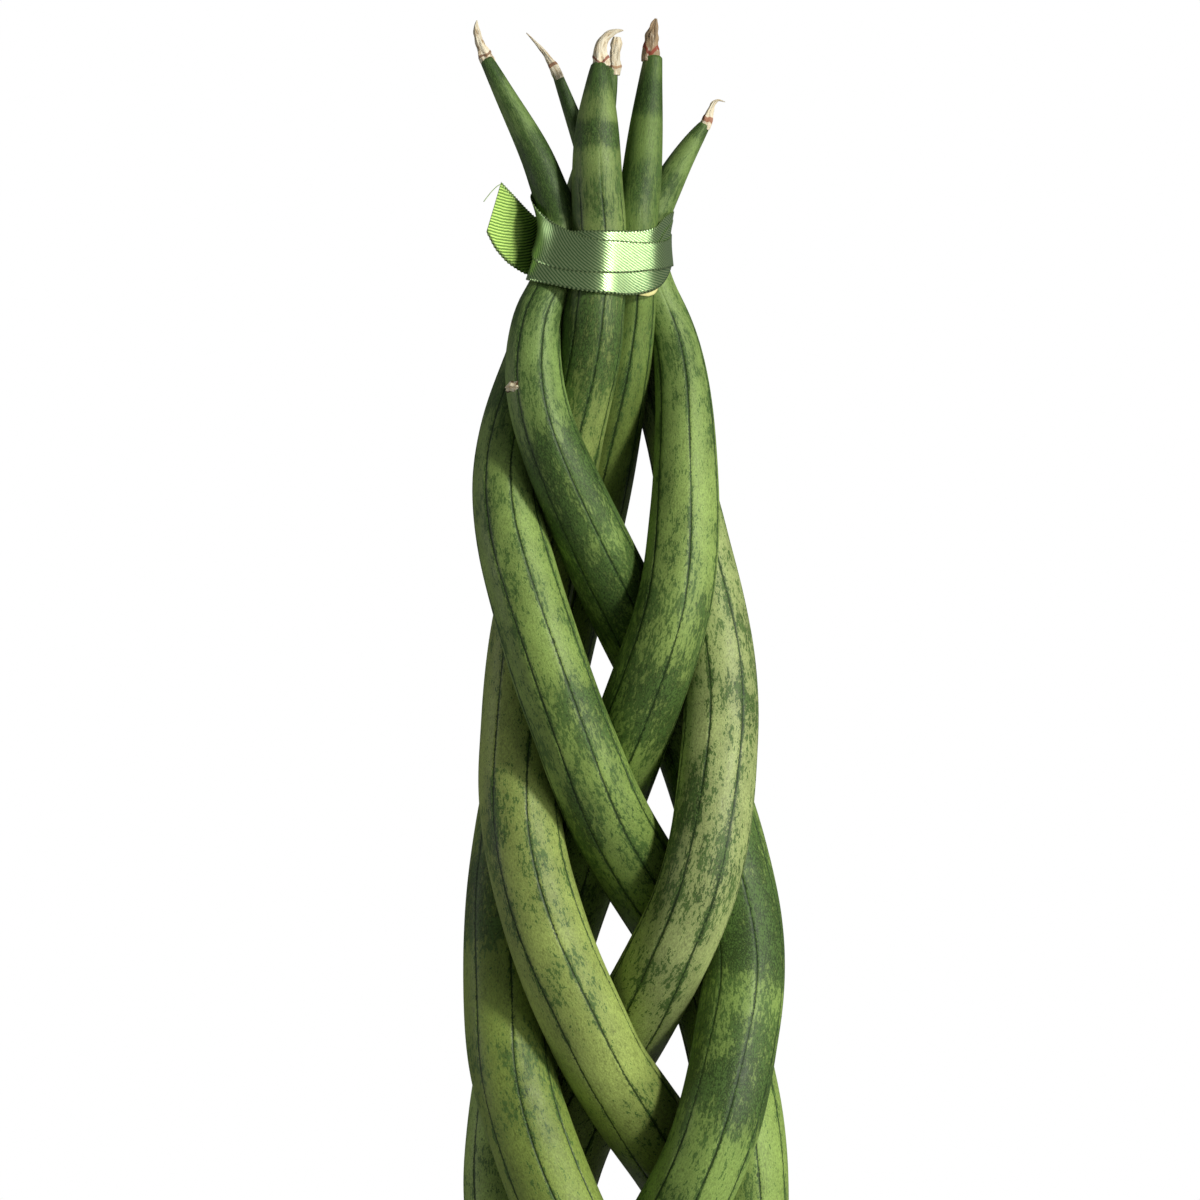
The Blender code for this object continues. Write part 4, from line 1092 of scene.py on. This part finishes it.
rim_foot = POT_TOP - POT_RIM_DEPTH
ring_inside = POT_FOOT - POT_WALL - POT_RECESS
pot_corners = [
    (POT_LIP, POT_TOP), (pot_wall(rim_foot) + POT_RIM_STEP, rim_foot), (pot_wall(rim_foot), rim_foot),
    (POT_FOOT, 0.0), (ring_inside, 0.0), (ring_inside, POT_RECESS), (POT_DRAIN, POT_RECESS),
    (POT_DRAIN, POT_FLOOR), (pot_wall(POT_FLOOR) - POT_WALL, POT_FLOOR),
    (pot_wall(POT_TOP) - POT_WALL, POT_TOP),
]
pot_section = divided(rounded(pot_corners, POT_ROUNDING), RUNG)
pot = turned("clay_pot", pot_section, pot_finish(), pot_relief)
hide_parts("pot")

# %% [markdown]
# ## The soil
#
# Potting soil is a low, lumpy crown with loose crumbs on it. The crown is the same kind of turned
# shape, its top raised by noise of two sizes. The crumbs are one mesh of several hundred small
# lumps, each an octahedron with its faces split once, scattered by a seeded draw.

# %% Soil
# Height of the soil's edge, of its crown above that and of its underside, and its gap to the pot
SOIL_EDGE, SOIL_CROWN, SOIL_FOOT, SOIL_GAP = 120.0, 3.0, 8.4, 0.5
# The lumps rise from a little lower: how far, and the rise, size and seed of each kind
SOIL_DROP = 0.6
SOIL_LUMPS = ((0.45, 9.0, 51), (0.25, 3.0, 52))
CRUMBS, CRUMB_SIZES, CRUMB_MARGIN = 900, (0.5, 1.9), 2.5


def soil_reach(height):
    """The soil's radius at a height, just inside the pot's wall."""
    return pot_wall(height) - POT_WALL - SOIL_GAP


def soil_height(radius, places):
    """Height of the top in mm: a rounded dome, highest in the middle, with lumps on it."""
    dome = SOIL_CROWN * (1 - (radius / soil_reach(SOIL_EDGE)) ** 2)
    lumps = sum(rise * ripple(places, size, seed) for rise, size, seed in SOIL_LUMPS)
    return SOIL_EDGE - SOIL_DROP + dome + lumps


def soil_finish():
    """Near-black crumbs with brown edges and a few pale fibres."""
    soil = Finish("dark_compost", Roughness=0.95, Specular_IOR_Level=0.2)
    place = soil.place()
    crumb = soil.noise(place, 700, 6, 0.75)
    cloud = soil.noise(place, 120, 3)
    base = soil.mix(soil.ramp(crumb, 0.3, 0.75), colour(34, 25, 19), colour(96, 72, 52))
    base = soil.shade(base, 0.75 + 0.5 * cloud)
    fibre = soil.ramp(soil.noise(soil.stretched(place, 1, 0.2, 1), 900, 3), 0.68, 0.76)
    base = soil.mix(0.6 * fibre, base, colour(150, 118, 82))
    return soil.wear(Base_Color=base, Normal=soil.bump(crumb, 0.8 * MM))


def soil_surface(finish):
    """Rows run from the middle of the top out to the wall and down to the foot's middle."""
    edge, foot = soil_reach(SOIL_EDGE), soil_reach(SOIL_FOOT)
    top = np.linspace(0.4, edge, 60)
    side = np.linspace(0, 1, 12)[1:]
    under = np.linspace(foot, 0.4, 8)[1:]
    radius = np.concatenate([top, edge + (foot - edge) * side, under])[:, None]
    angle = all_round(220)
    flat = joined(radius * np.cos(angle), radius * np.sin(angle))
    height = soil_height(radius, flat)
    rim = height[len(top) - 1]
    height[len(top):len(top) + len(side)] = rim + (SOIL_FOOT - rim) * side[:, None]
    height[len(top) + len(side):] = SOIL_FOOT
    made = surface("potting_soil", np.concatenate([flat, height[..., None]], axis=-1) * MM, finish)
    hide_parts("soil")
    return made


def crumb_shape():
    """An octahedron with every face split in four and its points set on a ball."""
    corners = np.concatenate([np.eye(3), -np.eye(3)])
    faces = [(0, 1, 2), (1, 3, 2), (3, 4, 2), (4, 0, 2), (1, 0, 5), (3, 1, 5), (4, 3, 5), (0, 4, 5)]
    middles = {}
    points = corners.tolist()
    split = []
    for face in faces:
        edge_points = []
        for one, two in zip(face, face[1:] + face[:1]):
            key = tuple(sorted((one, two)))
            if key not in middles:
                middles[key] = len(points)
                points.append(unit(corners[one] + corners[two]).tolist())
            edge_points.append(middles[key])
        a, b, c = face
        ab, bc, ca = edge_points
        split += [(a, ab, ca), (b, bc, ab), (c, ca, bc), (ab, bc, ca)]
    return np.array(points), np.array(split)


def crumbs(finish):
    """All the crumbs in one mesh: each is the one shape, stretched, turned and set on the soil."""
    draw = np.random.default_rng(61)
    shape, faces = crumb_shape()
    edge = soil_reach(SOIL_EDGE) - CRUMB_MARGIN
    radius = edge * np.sqrt(draw.uniform(0.01, 1, CRUMBS))
    angle = draw.uniform(0, 2 * math.pi, CRUMBS)
    flat = np.stack([radius * np.cos(angle), radius * np.sin(angle)], axis=-1)
    low, high = CRUMB_SIZES
    size = low + (high - low) * draw.uniform(0, 1, CRUMBS) ** 3
    stretch = draw.uniform(0.6, 1.2, (CRUMBS, 1, 3)) * size[:, None, None]
    lumpy = shape * (1 + draw.normal(0, 0.12, (CRUMBS, len(shape), 1)))
    turn = np.linalg.qr(draw.normal(size=(CRUMBS, 3, 3)))[0]
    turn *= np.sign(np.linalg.det(turn))[:, None, None]
    lumps = np.einsum("nij,nkj->nki", turn, lumpy * stretch)
    place = np.column_stack([flat, soil_height(radius, flat) + 0.15 * size])
    points = (lumps + place[:, None]).reshape(-1, 3) * MM
    index = (faces[None] + len(shape) * np.arange(CRUMBS)[:, None, None]).reshape(-1, 3)
    made = mesh_object("soil_crumbs", points, index.tolist(), finish)
    print("soil_crumbs:", len(index), "faces")
    return made


compost = soil_finish()
soil_surface(compost)
crumbs(compost)

# %% [markdown]
# ## Light and background
#
# A small bright lamp at the upper right of the camera makes each leaf shade the ones behind and
# below it. A wide, low softbox on the same side gives the satin its bright stripe, because glossy
# cloth shows the lamp itself. A dim strip at the left keeps that edge of the leaves visible. A
# white world fills the shadows. It is brighter to the camera than to the plant, which keeps the
# background white and the shadows deep.

# %% Light
# Each lamp: bearing to the right of the camera and height in degrees, then distance, width and
# length in metres, then watts
LAMPS = {
    "key": (46, 30, 2.6, 0.32, 0.32, 46),
    "low_softbox": (57, 3, 1.8, 1.8, 0.5, 16),
    "left_strip": (-92, 8, 1.8, 0.5, 0.8, 5),
}
# A touch warmer than the white fill
LAMP_COLOUR = (1.0, 1.0, 0.95)
FILL_BRIGHTNESS, FILL_COLOUR = 0.1, (0.93, 0.98, 1, 1)
AIM = np.array([0.0, 0.0, 0.42])


def lamp(name, bearing, height, distance, width, length, watts):
    """A flat lamp at a bearing to the right of the camera, aimed at the plant."""
    bearing, height = math.radians(bearing), math.radians(height)
    way = np.array([
        math.sin(bearing) * math.cos(height), -math.cos(bearing) * math.cos(height), math.sin(height)])
    light = bpy.data.lights.new(name, "AREA")
    light.shape = "RECTANGLE"
    light.size, light.size_y = width, length
    light.color = LAMP_COLOUR
    light.energy = watts
    made = bpy.data.objects.new(name, light)
    made.location = AIM + distance * way
    made.rotation_euler = (math.pi / 2 - height, 0.0, bearing)
    bpy.context.scene.collection.objects.link(made)
    return made


for name, settings in LAMPS.items():
    lamp(name, *settings)

world = bpy.data.worlds.new("studio")
bpy.context.scene.world = world
world.use_nodes = True
nodes, links = world.node_tree.nodes, world.node_tree.links
nodes.clear()
seen, fill = nodes.new("ShaderNodeBackground"), nodes.new("ShaderNodeBackground")
seen.inputs["Color"].default_value = (1, 1, 1, 1)
fill.inputs["Color"].default_value = FILL_COLOUR
fill.inputs["Strength"].default_value = FILL_BRIGHTNESS
path, choice, output = [nodes.new(kind) for kind in
                        ("ShaderNodeLightPath", "ShaderNodeMixShader", "ShaderNodeOutputWorld")]
links.new(path.outputs["Is Camera Ray"], choice.inputs[0])
links.new(fill.outputs[0], choice.inputs[1])
links.new(seen.outputs[0], choice.inputs[2])
links.new(choice.outputs[0], output.inputs["Surface"])
bpy.context.scene.view_settings.view_transform = "Standard"
bpy.context.scene.view_settings.look = "None"
print("lamps:", ", ".join(LAMPS))

# %% [markdown]
# ## The floor
#
# The pot stands on a pale disc that takes its shadow. Its finish grows clear with the distance
# from the middle, so that it has no edge against the white.

# %% Floor
FLOOR_RADIUS = 0.9
# Where it starts to fade and where it is gone, and how solid it is before
FLOOR_FADE, FLOOR_SOLID = (0.2, 0.75), 0.55


def floor_finish():
    """Matt white that glows a little, so that it is nearly as light as the background."""
    floor = Finish("pale_floor", Roughness=0.9, Emission_Color=(1, 1, 1, 1), Emission_Strength=0.1)
    away = floor.node("ShaderNodeVectorMath", {"operation": "LENGTH"}, {0: floor.place()}, "Value")
    solid = floor.ramp(away, *FLOOR_FADE, FLOOR_SOLID, 0.0)
    return floor.wear(Base_Color=(0.9, 0.9, 0.9, 1), Alpha=solid)


bpy.ops.mesh.primitive_circle_add(vertices=96, radius=FLOOR_RADIUS, fill_type="NGON", location=(0, 0, 0))
ground = bpy.context.object
ground.name = "floor"
ground.data.transform(ground.matrix_world)
ground.data.materials.append(floor_finish())
print("floor radius", FLOOR_RADIUS, "m")
